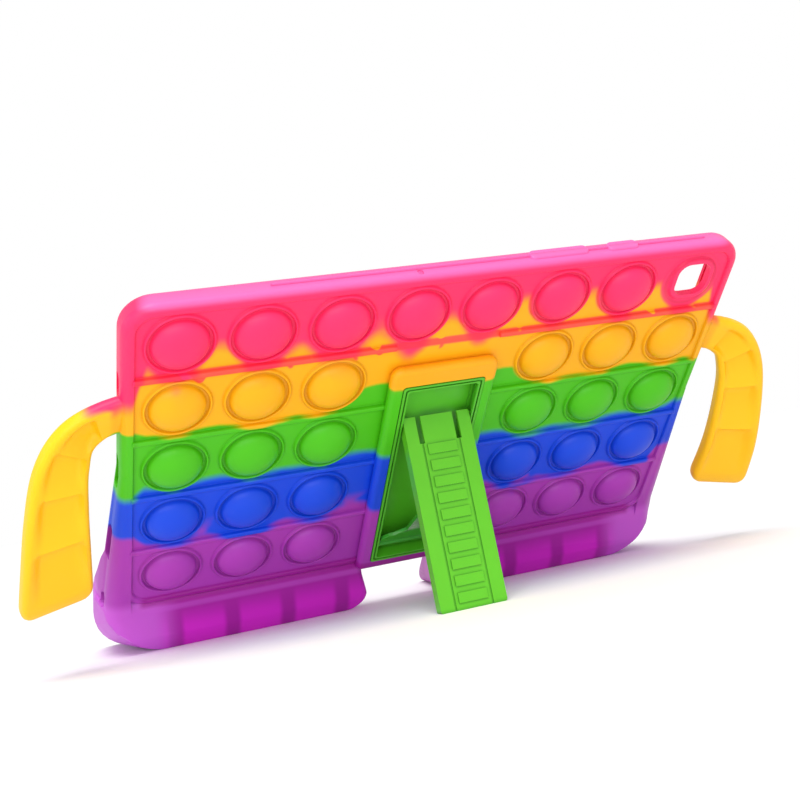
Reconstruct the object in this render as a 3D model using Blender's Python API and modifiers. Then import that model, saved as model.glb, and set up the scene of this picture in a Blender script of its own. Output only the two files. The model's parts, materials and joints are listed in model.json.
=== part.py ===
"""Silicone bubble case for a ten-inch tablet, with arms, feet and a fold-out kickstand.

The case is modelled in its own flat frame, then tilted onto its feet and its kickstand:
X runs to the right as seen from the back, Z runs up the back from the case's bottom edge,
and the back faces -Y. All sizes are in metres and all angles in degrees.
"""

from math import asin, cos, pi, radians, sin, tan

import bmesh
import bpy
from mathutils import Matrix, Vector

# Tablet and case shell
TABLET_WIDTH = 0.2415
TABLET_HEIGHT = 0.1490
TABLET_DEPTH = 0.0074
TABLET_CORNER = 0.0080
SIDE_WALL = 0.00425
BACK_WALL = 0.0028
LIP_DEPTH = 0.0014
LIP_REACH = 0.0026
EDGE_ROUND = 0.0038
EDGE_STEPS = 2
RIM_DROOP = 0.0016
PANEL_BORDER = 0.0046
PANEL_RECESS = 0.0007

# Bubbles
BUBBLE_PITCH_X = 0.0299
BUBBLE_PITCH_Z = 0.0297
BUBBLE_ROWS = 5
TOP_ROW_BUBBLES = 7
SIDE_COLUMNS = 3
TOP_ROW_DROP = 0.0180
RING_RADIUS = 0.0129
RING_WIDTH = 0.0016
RING_HEIGHT = 0.0011
DOME_HEIGHT = 0.0056
BUBBLE_WALL = 0.0013
BUBBLE_SIDES = 14
HOLLOW_SIDES = 12
RIB_WIDTH = 0.0024
RIB_HEIGHT = 0.0011
RIB_ROOT = 0.0004

# Camera opening, buttons and ports
CAMERA_SIZE = 0.0150
CAMERA_CORNER = 0.0050
CAMERA_RIM = 0.0022
VOLUME_PLACE = 0.0420
VOLUME_LENGTH = 0.0245
POWER_PLACE = 0.0700
POWER_LENGTH = 0.0130
BUTTON_WIDTH = 0.0046
BUTTON_RISE = 0.0006
PORT_WIDTH = 0.0042
PORTS = ((0.1198, 0.0105), (0.0765, 0.0165), (0.0372, 0.0185), (0.0030, 0.0075))

# Kickstand frame and its window in the silicone
FRAME_WIDTH = 0.0346
FRAME_HEIGHT = 0.1008
FRAME_LOW = 0.0061
FRAME_RIM = 0.0024
FRAME_FRONT = 0.0041
FRAME_FLOOR = 0.0012
FRAME_CORNER = 0.0012
FLANGE_REACH = 0.0030
FLANGE_DEPTH = 0.0011
BORDER_WIDTH = 0.0054
BORDER_TOP = 0.0086
BORDER_RISE = 0.0038
BORDER_ROUND = 0.0024
SEAT_GAP = 0.0003

# Kickstand linkage, in the plane of its motion
PIVOT_LEVEL = 0.0008
BRACE_PIVOT_UP = 0.0145
BRACE_LENGTH = 0.0581
LEG_ARM = 0.0284
LEG_ANGLE = 52.4
LEG_OVERRUN = 0.0016
LEG_LENGTH = 0.0780
LEG_WIDTH = 0.0288
LEG_SKIN = 0.0012
LEG_FACE = 0.0031
LEG_RAIL = 0.0018
LEG_RAIL_DROP = 0.0015
LEG_TAB_DROP = 0.0005
LEG_TAB_LENGTH = 0.0040
NUB_RADIUS = 0.0011
NUB_RISE = 0.0009
PIN_RADIUS = 0.0009
PIN_GAP = 0.0003
PIN_REACH = 0.0010
CHANNEL_SLACK = 0.0011
CHANNEL_START = 0.0300
LATCH_PLACE = 0.0130
LATCH_LENGTH = 0.0060
LATCH_DEPTH = 0.0024
SOLE_TRIM = 0.0002
SLOT_PLACE = 0.0080
SLOT_WIDTH = 0.0022
SLOT_LENGTH = 0.0110
RUNG_PITCH = 0.0066
RUNG_SIZE = 0.0040
RUNG_HALF = 0.0062
RUNG_RISE = 0.0005
RUNG_COUNT = 10
GROOVE_WIDTH = 0.0008
GROOVE_DEPTH = 0.0004
EAR_THICKNESS = 0.0020
EAR_PLACE = 0.0066
EYE_RADIUS = 0.0018
BRACE_NECK = 0.0042
BRACE_DEPTH = 0.0015
BRACE_FOOT = 0.0085
BARREL_RADIUS = 0.0016

# Resting pose and feet
CASE_LEAN = 47.6
FOOT_INNER = 0.0150
FOOT_WALL = 0.0036
FOOT_BACK = 0.0080
FOOT_FRONT = 0.0330
FOOT_SPLAY = 0.0150
SPLAY_START = 0.0450
FLARE = 0.0085
FLARE_TOP = 0.0800
FLARE_START = 0.1000
FLARE_BACK = 0.56
FLARE_TOE = 0.6
HEEL_START = -0.0024
FOOT_ROUND_IN = 0.0090
FOOT_ROUND_OUT = 0.0100
FOOT_EDGE = 0.0062
GUSSET_TOP = 0.0780
GUSSET_WALL = 0.0043
GUSSET_INSET = 0.0006
TOE_PITCH = 0.0247
TOE_FIRST = 0.0290
TOE_COUNT = 4
TOE_RIB = 0.0026
TOE_GROOVE = 0.0015
TOE_RADIUS = 0.0045

# Arms: each station gives X, Z below the top row, backward rise, half width, direction and thickness
ARM_ROUND = 0.0024
ARM_RIM = 0.0028
ARM_TILT = 9.0
ARM_SCOOP = 0.0018
ARM_SCOOPS = 4
SCOOP_STEPS = 4
ARM_STATIONS = (
    (0.1190, -0.0328, -0.0050, 0.0094, 90, 0.0050),
    (0.1292, -0.0336, -0.0044, 0.0089, 86, 0.0054),
    (0.1404, -0.0392, -0.0022, 0.0090, 52, 0.0062),
    (0.1468, -0.0512, 0.0012, 0.0102, 17, 0.0068),
    (0.1496, -0.0690, 0.0054, 0.0117, 4, 0.0070),
    (0.1511, -0.0910, 0.0092, 0.0132, 1, 0.0070),
    (0.1519, -0.1152, 0.0100, 0.0146, -4, 0.0068),
)

CASE_WIDTH = TABLET_WIDTH + 2 * SIDE_WALL
CASE_HEIGHT = TABLET_HEIGHT + 2 * SIDE_WALL
CASE_DEPTH = BACK_WALL + TABLET_DEPTH + LIP_DEPTH
CASE_CORNER = TABLET_CORNER + SIDE_WALL
TOP_ROW_UP = CASE_HEIGHT - TOP_ROW_DROP
EPS = 0.001

PARTS = "tablet_stand_case"
CUTTERS = "tablet_stand_case_cutters"

COLOURS = {
    "silicone_case": ((0.93, 0.16, 0.42, 1.0), 0.42),
    "stand_frame": ((0.11, 0.43, 0.03, 1.0), 0.34),
    "stand_leg": ((0.16, 0.58, 0.03, 1.0), 0.36),
    "stand_brace": ((0.11, 0.46, 0.05, 1.0), 0.26),
}


def clear_scene():
    for scene_object in list(bpy.data.objects):
        bpy.data.objects.remove(scene_object, do_unlink=True)
    for name in (PARTS, CUTTERS):
        collection = bpy.data.collections.new(name)
        bpy.context.scene.collection.children.link(collection)


def add_object(name, mesh, parent, cutter=False):
    made = bpy.data.objects.new(name, mesh)
    bpy.data.collections[CUTTERS if cutter else PARTS].objects.link(made)
    made.parent = parent
    if cutter:
        made.hide_render = True
        made.display_type = "WIRE"
    return made


def finish_part(part):
    colour, roughness = COLOURS[part.name]
    material = bpy.data.materials.new(part.name)
    material.use_nodes = True
    shader = material.node_tree.nodes["Principled BSDF"]
    shader.inputs["Base Color"].default_value = colour
    shader.inputs["Roughness"].default_value = roughness
    shader.inputs["Metallic"].default_value = 0.0
    part.data.materials.clear()
    part.data.materials.append(material)
    part.data.shade_smooth()
    part.data.set_sharp_from_angle(angle=radians(32))


def boolean(part, operation, other):
    step = part.modifiers.new(other.name, "BOOLEAN")
    step.operation = operation
    step.solver = "EXACT"
    step.object = other


def weld(part):
    step = part.modifiers.new("weld", "WELD")
    step.merge_threshold = 0.000002


def bevel(part, width, segments, angle=40):
    step = part.modifiers.new("edge_rounding", "BEVEL")
    step.width = width
    step.segments = segments
    step.limit_method = "ANGLE"
    step.angle_limit = radians(angle)


def baked_mesh(made):
    """The object's evaluated mesh with its loose seams welded; the object is removed."""
    graph = bpy.context.evaluated_depsgraph_get()
    mesh = bpy.data.meshes.new_from_object(made.evaluated_get(graph))
    work = bmesh.new()
    work.from_mesh(mesh)
    bmesh.ops.remove_doubles(work, verts=work.verts, dist=1e-6)
    bmesh.ops.recalc_face_normals(work, faces=work.faces)
    work.to_mesh(mesh)
    work.free()
    bpy.data.objects.remove(made, do_unlink=True)
    return mesh


def outline_mesh(points, low, high, axis):
    """A flat outline made solid between two levels along Y (points in X, Z) or X (points in Y, Z)."""
    curve = bpy.data.curves.new("outline", "CURVE")
    curve.dimensions = "2D"
    curve.fill_mode = "BOTH"
    curve.extrude = (high - low) / 2
    spline = curve.splines.new("POLY")
    spline.points.add(len(points) - 1)
    for point, (across, up) in zip(spline.points, points):
        point.co = (across, up, 0.0, 1.0)
    spline.use_cyclic_u = True
    made = bpy.data.objects.new("outline", curve)
    bpy.context.scene.collection.objects.link(made)
    mesh = baked_mesh(made)
    middle = (high + low) / 2
    if axis == "Y":
        turn = Matrix.Translation((0, middle, 0)) @ Matrix.Rotation(pi / 2, 4, "X")
    else:
        turn = Matrix.Translation((middle, 0, 0)) @ Matrix.Rotation(pi / 2, 4, "Z") @ Matrix.Rotation(pi / 2, 4, "X")
    mesh.transform(turn)
    return mesh


def turned_mesh(profile, sides, axis="Y"):
    """A profile of (radius, height) points turned about its height, which then lies along -Y or X."""
    mesh = bpy.data.meshes.new("profile")
    points = [(radius, 0.0, height) for radius, height in profile]
    mesh.from_pydata(points, [(i, i + 1) for i in range(len(points) - 1)], [])
    made = bpy.data.objects.new("profile", mesh)
    bpy.context.scene.collection.objects.link(made)
    screw = made.modifiers.new("turn", "SCREW")
    screw.steps = sides
    screw.render_steps = sides
    screw.use_merge_vertices = True
    screw.merge_threshold = 0.00001
    turned = baked_mesh(made)
    if axis == "Y":
        turned.transform(Matrix.Rotation(pi / 2, 4, "X"))
    else:
        turned.transform(Matrix.Rotation(pi / 2, 4, "Y"))
    return turned


def rod(radius, low, high, up, out, sides=16):
    """A round bar along X whose centre lies at a height and an outward level."""
    mesh = turned_mesh([(0, high), (radius, high), (radius, low), (0, low)], sides, "X")
    mesh.transform(Matrix.Translation((0, -out, up)))
    return mesh


def pinned_rod(radius, half, pin_radius, pin_half, up):
    """A round bar along X with a thinner pin at each end."""
    profile = [(0, pin_half), (pin_radius, pin_half), (pin_radius, half), (radius, half),
               (radius, -half), (pin_radius, -half), (pin_radius, -pin_half), (0, -pin_half)]
    return moved(turned_mesh(profile, 16, "X"), (0, 0, up))


def merged(meshes):
    work = bmesh.new()
    for mesh in meshes:
        work.from_mesh(mesh)
    result = bpy.data.meshes.new("merged")
    work.to_mesh(result)
    work.free()
    return result


def moved(mesh, offset):
    copy = mesh.copy()
    copy.transform(Matrix.Translation(offset))
    return copy


def box(x_range, out_range, z_range):
    work = bmesh.new()
    bmesh.ops.create_cube(work, size=1.0)
    size = (x_range[1] - x_range[0], out_range[1] - out_range[0], z_range[1] - z_range[0])
    middle = (sum(x_range) / 2, -sum(out_range) / 2, sum(z_range) / 2)
    bmesh.ops.scale(work, vec=size, verts=work.verts)
    bmesh.ops.translate(work, vec=middle, verts=work.verts)
    mesh = bpy.data.meshes.new("box")
    work.to_mesh(mesh)
    work.free()
    return mesh


def rounded(low_x, high_x, low_z, high_z, radii, steps=5):
    """A rectangle with its corners rounded: radii go round from the lower left, against the clock."""
    centres = (
        (low_x + radii[0], low_z + radii[0], 180),
        (high_x - radii[1], low_z + radii[1], 270),
        (high_x - radii[2], high_z - radii[2], 0),
        (low_x + radii[3], high_z - radii[3], 90),
    )
    points = []
    for (across, up, start), radius in zip(centres, radii):
        for step in range(steps + 1):
            angle = radians(start + 90 * step / steps)
            points.append((across + radius * cos(angle), up + radius * sin(angle)))
    return points


def brace_angle():
    """The brace's open angle, which puts the leg's nubs at their level in the frame's channels."""
    leg = radians(LEG_ANGLE)
    rise = LEG_ARM * sin(leg) + NUB_RISE * (1 - cos(leg))
    return asin(rise / BRACE_LENGTH)


def joint_place():
    """Height up the case and outward level of the hinge between brace and leg."""
    brace = brace_angle()
    return BRACE_PIVOT_UP + BRACE_LENGTH * cos(brace), PIVOT_LEVEL + BRACE_LENGTH * sin(brace)


def leg_tip():
    return LEG_ARM + LEG_OVERRUN - LEG_LENGTH


def sole_place():
    """Where the ground crosses the leg's own line of motion, below the hinge with the brace."""
    return leg_tip() + SOLE_TRIM + LEG_FACE * tan(radians(LEG_ANGLE - CASE_LEAN))


def ground_level():
    """Height of the ground under the leg's tip, measured along the true vertical."""
    lean = radians(CASE_LEAN)
    up, out = joint_place()
    return up * cos(lean) - out * sin(lean) + sole_place() * cos(radians(LEG_ANGLE) - lean)


def ground_up(out):
    """Case height of the ground plane at an outward level."""
    lean = radians(CASE_LEAN)
    return (ground_level() + out * sin(lean)) / cos(lean)


def shell_outline(inset, radius):
    half = CASE_WIDTH / 2 - inset
    return rounded(-half, half, inset, CASE_HEIGHT - inset, (radius,) * 4)


def bubble_places():
    half_row = (TOP_ROW_BUBBLES + 1) / 2
    places = []
    for column in range(TOP_ROW_BUBBLES):
        places.append(((column + 0.5 - half_row) * BUBBLE_PITCH_X, TOP_ROW_UP))
    for row in range(1, BUBBLE_ROWS):
        up = TOP_ROW_UP - row * BUBBLE_PITCH_Z
        for column in range(SIDE_COLUMNS):
            across = (half_row - 0.5 - column) * BUBBLE_PITCH_X
            places.append((across, up))
            places.append((-across, up))
    return places


def camera_place():
    return (TOP_ROW_BUBBLES / 2) * BUBBLE_PITCH_X, TOP_ROW_UP + EPS


def bubble_shapes():
    """One bubble and the hollow behind it, as turned solids with their heights along -Y."""
    bead = RING_RADIUS - RING_WIDTH / 2
    groove = RING_RADIUS - RING_WIDTH
    base = -PANEL_RECESS
    dome = [
        (0.0, DOME_HEIGHT),
        (groove * 0.50, DOME_HEIGHT * 0.90),
        (groove * 0.84, DOME_HEIGHT * 0.56),
        (groove, base + 0.0002),
        (bead, base + RING_HEIGHT),
        (RING_RADIUS + 0.0005, base - 0.0006),
        (0.0, base - 0.0006),
    ]
    hollow = [
        (0.0, DOME_HEIGHT - BUBBLE_WALL),
        (groove * 0.55, DOME_HEIGHT * 0.82 - BUBBLE_WALL),
        (groove * 0.86, base - 0.0001),
        (groove * 0.86, -BACK_WALL - EPS),
        (0.0, -BACK_WALL - EPS),
    ]
    return turned_mesh(dome, BUBBLE_SIDES), turned_mesh(hollow, HOLLOW_SIDES)


def rib_mesh(side, up):
    """A raised bead between two rows, from the panel's edge to the kickstand's border."""
    base = PANEL_RECESS + RIB_ROOT
    top = PANEL_RECESS - RIB_HEIGHT
    half = RIB_WIDTH / 2
    crest = half - RIB_HEIGHT * 0.6
    section = [(base, up - half), (top, up - crest), (top, up + crest), (base, up + half)]
    inner = FRAME_WIDTH / 2 + BORDER_WIDTH - EPS
    outer = CASE_WIDTH / 2 - PANEL_BORDER + EPS
    return outline_mesh(section, min(side * inner, side * outer), max(side * inner, side * outer), "X")


def foot_profile(inset):
    """Side view of a foot as (Y, Z): flared back, sole on the ground, toe under the screen."""
    back = -FOOT_BACK + inset
    toe = FOOT_FRONT - inset
    drop = EPS if inset == 0 else 4 * EPS
    heel_up = ground_up(-back) - drop
    toe_up = ground_up(-toe) - drop
    ankle = 0.0006 + inset
    shelf = CASE_DEPTH - 0.0006 - inset
    top = 0.0030 - inset
    return [(ankle, top), (ankle - 0.0030 + inset * 0.2, -0.0045 - inset), (back + 0.0008, -0.0120 - inset),
            (back, heel_up), (toe, toe_up), (toe, toe_up + 0.030), (toe - 0.0030, -0.0090 - inset),
            (toe - 0.0090, -0.0010 - inset), (shelf, top)]


def foot_mesh(side, inset):
    """One foot's side view made solid across its width, its ends rounded by the inset's margin."""
    inner = FOOT_INNER + inset
    outer = CASE_WIDTH / 2 - inset
    low, high = sorted((side * inner, side * outer))
    return outline_mesh(foot_profile(inset), low, high, "X")


def foot_outline(side, inset):
    """View of a foot along the ground, as (X, height) with its lower corners rounded."""
    inner = FOOT_INNER + inset
    outer = CASE_WIDTH / 2 - inset
    high = 0.160
    if inset == 0:
        radii = (FOOT_ROUND_IN, FOOT_ROUND_OUT, 0.001, 0.001)
        points = rounded(inner, outer, 0.0, high, radii)
    else:
        inner_turn = FOOT_INNER + FOOT_ROUND_IN
        outer_turn = CASE_WIDTH / 2 - FOOT_ROUND_OUT
        inner_arc = (FOOT_ROUND_IN - inset) * sin(pi / 4)
        outer_arc = (FOOT_ROUND_OUT - inset) * sin(pi / 4)
        below = -10 * EPS
        points = [(inner, high), (inner, FOOT_ROUND_IN),
                  (inner_turn - inner_arc, FOOT_ROUND_IN - inner_arc),
                  (inner_turn + inset, EPS), (inner_turn + inset, below),
                  (outer_turn - inset, below), (outer_turn - inset, EPS),
                  (outer_turn + outer_arc, FOOT_ROUND_OUT - outer_arc),
                  (outer, FOOT_ROUND_OUT), (outer, high)]
    if side < 0:
        points = [(-across, up) for across, up in reversed(points)]
    mesh = outline_mesh(points, -0.30, 0.30, "Y")
    lift = Matrix.Translation((0, 0, ground_level()))
    mesh.transform(Matrix.Rotation(-radians(CASE_LEAN), 4, "X") @ lift)
    return mesh


def flare_share(depth):
    """Share of the side flare at a depth: most at the rim of the screen, less at heel and toe."""
    if depth < HEEL_START:
        return FLARE_BACK * (depth + FOOT_BACK) / (HEEL_START + FOOT_BACK)
    if depth < CASE_DEPTH:
        return FLARE_BACK + (1.0 - FLARE_BACK) * (depth - HEEL_START) / (CASE_DEPTH - HEEL_START)
    return 1.0 - (1.0 - FLARE_TOE) * (depth - CASE_DEPTH) / (FOOT_FRONT - CASE_DEPTH)


def flare_part(part, start, end):
    """Bakes the part, spreads its outer side down the case and its inner side towards the toe."""
    work = bmesh.new()
    work.from_mesh(baked_copy(part))
    bmesh.ops.remove_doubles(work, verts=work.verts, dist=1e-6)
    for depth in (HEEL_START, CASE_DEPTH):
        whole = work.verts[:] + work.edges[:] + work.faces[:]
        bmesh.ops.bisect_plane(work, geom=whole, plane_co=(0, depth, 0), plane_no=(0, 1, 0), dist=1e-6)
    for vertex in work.verts:
        across, depth, up = vertex.co
        side = 1 if across > 0 else -1
        outward = min(max((abs(across) - start) / (end - start), 0.0), 1.0)
        drop = min(max((FLARE_TOP - up) / FLARE_TOP, 0.0), 1.0)
        inward = min(max((SPLAY_START - abs(across)) / (SPLAY_START - FOOT_INNER), 0.0), 1.0)
        reach = min(max((depth + FOOT_BACK) / (FOOT_BACK + FOOT_FRONT), 0.0), 1.0)
        vertex.co.x += side * (FLARE * drop * outward * flare_share(depth) + FOOT_SPLAY * reach * inward)
    bmesh.ops.triangulate(work, faces=work.faces)
    work.to_mesh(part.data)
    work.free()


def gusset_mesh(side):
    """The part of the side wall that spreads outward, from below the arm down to the foot."""
    rim = CASE_DEPTH - LIP_DEPTH
    points = [(0.0022, GUSSET_TOP), (rim, GUSSET_TOP), (rim, 0.0200), (rim + 0.0030, 0.0080),
              (FOOT_FRONT - 0.0060, -0.0080), (FOOT_FRONT - 0.0070, -0.0180), (0.0060, -0.0180),
              (0.0022, 0.0000), (0.0022, 0.0200)]
    outer = CASE_WIDTH / 2 - GUSSET_INSET
    low, high = sorted((side * (outer - GUSSET_WALL), side * outer))
    return outline_mesh(points, low, high, "X")


def arm_station(place):
    """Centre, half width and direction of an arm at a place between 0 (root) and 1 (tip)."""
    last = len(ARM_STATIONS) - 1
    spot = min(place * last, last - 1e-6)
    index = int(spot)
    share = spot - index
    around = [ARM_STATIONS[min(max(index + offset, 0), last)] for offset in (-1, 0, 1, 2)]
    values = []
    for before, first, second, after in zip(*around):
        values.append(0.5 * (2 * first + (second - before) * share
                             + (2 * before - 5 * first + 4 * second - after) * share ** 2
                             + (3 * first - before - 3 * second + after) * share ** 3))
    return values


def arm_mesh(side):
    """A loft of rounded sections along the arm, its back face scooped for the fingers."""
    count = ARM_SCOOPS * SCOOP_STEPS
    places = [(0.0, 0.0, 0.0), (0.12, 0.0, 0.0)]
    for step in range(count + 1):
        part = (step % SCOOP_STEPS) / SCOOP_STEPS
        places.append((0.22 + 0.72 * step / count, 4 * part * (1 - part), 0.0))
    places += [(0.965, 0.0, 0.0004), (0.988, 0.0, 0.0018), (1.0, 0.0, 0.0046)]
    tilt = radians(ARM_TILT)
    work = bmesh.new()
    rings = []
    for place, scoop, narrow in places:
        across, up, rise, half, angle, thickness = arm_station(place)
        half -= narrow
        turn = radians(angle)
        sideways = Vector((cos(turn) * cos(tilt), -sin(tilt), sin(turn) * cos(tilt)))
        outward = Vector((-cos(turn) * sin(tilt), -cos(tilt), -sin(turn) * sin(tilt)))
        centre = Vector((across, -rise, TOP_ROW_UP + up))
        depth = thickness / 2 - narrow * 0.4
        bend = min(ARM_ROUND, depth * 0.7)
        edge = half - bend
        floor = depth - ARM_SCOOP * scoop
        slope = ARM_SCOOP * 0.5
        section = [(-half, bend - depth), (-edge, -depth), (edge, -depth), (half, bend - depth),
                   (half, depth - bend), (edge, depth), (half - ARM_RIM, depth),
                   (half - ARM_RIM - slope, floor), (0.0, floor), (-half + ARM_RIM + slope, floor),
                   (-half + ARM_RIM, depth), (-edge, depth), (-half, depth - bend)]
        ring = []
        for offset, out in section:
            point = centre + sideways * offset + outward * out
            ring.append(work.verts.new((side * point.x, point.y, point.z)))
        rings.append(ring)
    for first, second in zip(rings, rings[1:]):
        for index in range(len(first)):
            after = (index + 1) % len(first)
            work.faces.new((first[index], first[after], second[after], second[index]))
    work.faces.new(rings[0])
    work.faces.new(rings[-1])
    bmesh.ops.recalc_face_normals(work, faces=work.faces)
    mesh = bpy.data.meshes.new("arm")
    work.to_mesh(mesh)
    work.free()
    return mesh


def foot_cells(side):
    """Walls that split the hollow of a foot into open cells, so they are left out of its cutter."""
    walls = []
    for index in range(1, TOE_COUNT):
        middle = side * (TOE_FIRST + index * TOE_PITCH)
        walls.append(box((middle - TOE_RIB / 2, middle + TOE_RIB / 2), (-0.09, 0.05), (-0.15, 0.05)))
    return merged(walls)


def toe_grooves():
    """Upright grooves that mark the toes on the flared back of both feet."""
    grooves = []
    depth = -FOOT_BACK - TOE_RADIUS + TOE_GROOVE
    for side in (-1, 1):
        for index in range(TOE_COUNT):
            place = side * (TOE_FIRST + index * TOE_PITCH)
            bar = turned_mesh([(0, -0.0075), (TOE_RADIUS, -0.0075), (TOE_RADIUS, -0.060), (0, -0.060)], 12)
            bar.transform(Matrix.Rotation(-pi / 2, 4, "X"))
            grooves.append(moved(bar, (place, depth, 0)))
    return merged(grooves)


def ports_mesh():
    """Rounded slots through the left side wall, for the sockets and loudspeakers."""
    level = BACK_WALL + TABLET_DEPTH / 2
    slots = []
    for up, length in PORTS:
        half = PORT_WIDTH / 2
        outline = rounded(level - half, level + half, up - length / 2, up + length / 2, (half * 0.95,) * 4, 3)
        outer = -CASE_WIDTH / 2
        slots.append(outline_mesh(outline, outer - 0.010, outer + SIDE_WALL + EPS, "X"))
    return merged(slots)


def buttons_mesh():
    """Raised pads over the volume and power keys, on the top edge."""
    level = BACK_WALL + TABLET_DEPTH / 2
    pads = []
    for place, length in ((VOLUME_PLACE, VOLUME_LENGTH), (POWER_PLACE, POWER_LENGTH)):
        half = BUTTON_WIDTH / 2
        outline = rounded(place - length / 2, place + length / 2, level - half, level + half, (half * 0.95,) * 4, 3)
        pad = outline_mesh(outline, -CASE_HEIGHT - BUTTON_RISE, -CASE_HEIGHT + EPS, "Y")
        pad.transform(Matrix.Rotation(-pi / 2, 4, "X"))
        pads.append(pad)
    return merged(pads)


def window_outline(margin):
    half = FRAME_WIDTH / 2 + margin
    corner = FRAME_CORNER + max(margin, 0.0)
    return rounded(-half, half, FRAME_LOW - margin, FRAME_LOW + FRAME_HEIGHT + margin, (corner,) * 4, 3)


def make_silicone_case(root):
    shell = outline_mesh(shell_outline(0.0, CASE_CORNER), 0.0, CASE_DEPTH, "Y")
    for vertex in shell.vertices:
        if vertex.co.y > EPS and vertex.co.z > CASE_HEIGHT / 2:
            vertex.co.z -= RIM_DROOP * (vertex.co.z / CASE_HEIGHT) ** 4
    case = add_object("silicone_case", shell, root)
    bevel(case, EDGE_ROUND, EDGE_STEPS)

    panel = shell_outline(PANEL_BORDER, CASE_CORNER - PANEL_BORDER)
    panel_cut = add_object("panel_cut", outline_mesh(panel, -EPS, PANEL_RECESS, "Y"), root, cutter=True)
    boolean(case, "DIFFERENCE", panel_cut)

    for side, word in ((-1, "left"), (1, "right")):
        foot = add_object(word + "_foot", foot_mesh(side, 0.0), root, cutter=True)
        bevel(foot, FOOT_EDGE, 2, angle=60)
        boolean(foot, "INTERSECT", add_object(word + "_foot_outline", foot_outline(side, 0.0), root, cutter=True))
        flare_part(foot, FLARE_START, CASE_WIDTH / 2)
        gusset = add_object(word + "_gusset", gusset_mesh(side), root, cutter=True)
        gusset_outer = CASE_WIDTH / 2 - GUSSET_INSET
        flare_part(gusset, gusset_outer - GUSSET_WALL, gusset_outer)
        boolean(case, "UNION", gusset)
        boolean(case, "UNION", foot)

    half = FRAME_WIDTH / 2 + BORDER_WIDTH
    top = FRAME_LOW + FRAME_HEIGHT + BORDER_TOP
    border = rounded(-half, half, 0.0006, top, (BORDER_ROUND, BORDER_ROUND, 0.004, 0.004), 4)
    stand_border = add_object("stand_border", outline_mesh(border, -BORDER_RISE, EPS, "Y"), root, cutter=True)
    bevel(stand_border, BORDER_ROUND, 2)
    boolean(case, "UNION", stand_border)

    ribs = []
    for row in range(BUBBLE_ROWS - 1):
        up = TOP_ROW_UP - (row + 0.5) * BUBBLE_PITCH_Z
        ribs += [rib_mesh(-1, up), rib_mesh(1, up)]
    boolean(case, "UNION", add_object("row_ribs", merged(ribs), root, cutter=True))

    across, up = camera_place()
    reach = CAMERA_SIZE / 2 + CAMERA_RIM
    rim = rounded(across - reach, across + reach, up - reach, up + reach, (CAMERA_CORNER + CAMERA_RIM,) * 4)
    camera_rim = add_object("camera_rim", outline_mesh(rim, PANEL_RECESS - RING_HEIGHT, EPS, "Y"), root, cutter=True)
    boolean(case, "UNION", camera_rim)

    dome, hollow = bubble_shapes()
    places = bubble_places()
    domes = merged([moved(dome, (across, 0, up)) for across, up in places])
    hollows = merged([moved(hollow, (across, 0, up)) for across, up in places])
    boolean(case, "UNION", add_object("bubbles", domes, root, cutter=True))
    boolean(case, "UNION", add_object("key_pads", buttons_mesh(), root, cutter=True))
    for side, word in ((-1, "left"), (1, "right")):
        boolean(case, "UNION", add_object(word + "_arm", arm_mesh(side), root, cutter=True))

    pocket = shell_outline(SIDE_WALL, TABLET_CORNER)
    screen = shell_outline(SIDE_WALL + LIP_REACH, TABLET_CORNER - LIP_REACH)
    level = BACK_WALL + TABLET_DEPTH
    cuts = {
        "pocket": outline_mesh(pocket, BACK_WALL, level, "Y"),
        "screen_opening": outline_mesh(screen, level - EPS, CASE_DEPTH + 0.040, "Y"),
        "bubble_hollows": hollows,
        "frame_window": outline_mesh(window_outline(SEAT_GAP), -0.010, BACK_WALL + EPS, "Y"),
        "flange_seat": outline_mesh(window_outline(FLANGE_REACH + SEAT_GAP),
                                    BACK_WALL - FLANGE_DEPTH - SEAT_GAP * 2, BACK_WALL + EPS, "Y"),
        "ports": ports_mesh(),
        "toe_grooves": toe_grooves(),
    }
    across, up = camera_place()
    half = CAMERA_SIZE / 2
    hole = rounded(across - half, across + half, up - half, up + half, (CAMERA_CORNER,) * 4)
    cuts["camera_hole"] = outline_mesh(hole, -0.010, BACK_WALL + EPS, "Y")
    for name, mesh in cuts.items():
        boolean(case, "DIFFERENCE", add_object(name, mesh, root, cutter=True))
    for side, word in ((-1, "left"), (1, "right")):
        cavity = add_object(word + "_foot_hollow", foot_mesh(side, FOOT_WALL), root, cutter=True)
        boolean(cavity, "INTERSECT", add_object(word + "_hollow_outline", foot_outline(side, FOOT_WALL), root, cutter=True))
        flare_part(cavity, FLARE_START, CASE_WIDTH / 2)
        boolean(cavity, "DIFFERENCE", add_object(word + "_toe_walls", foot_cells(side), root, cutter=True))
        boolean(case, "DIFFERENCE", cavity)
    weld(case)
    finish_part(case)


def baked_copy(made):
    graph = bpy.context.evaluated_depsgraph_get()
    mesh = bpy.data.meshes.new_from_object(made.evaluated_get(graph))
    made.modifiers.clear()
    return mesh


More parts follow.
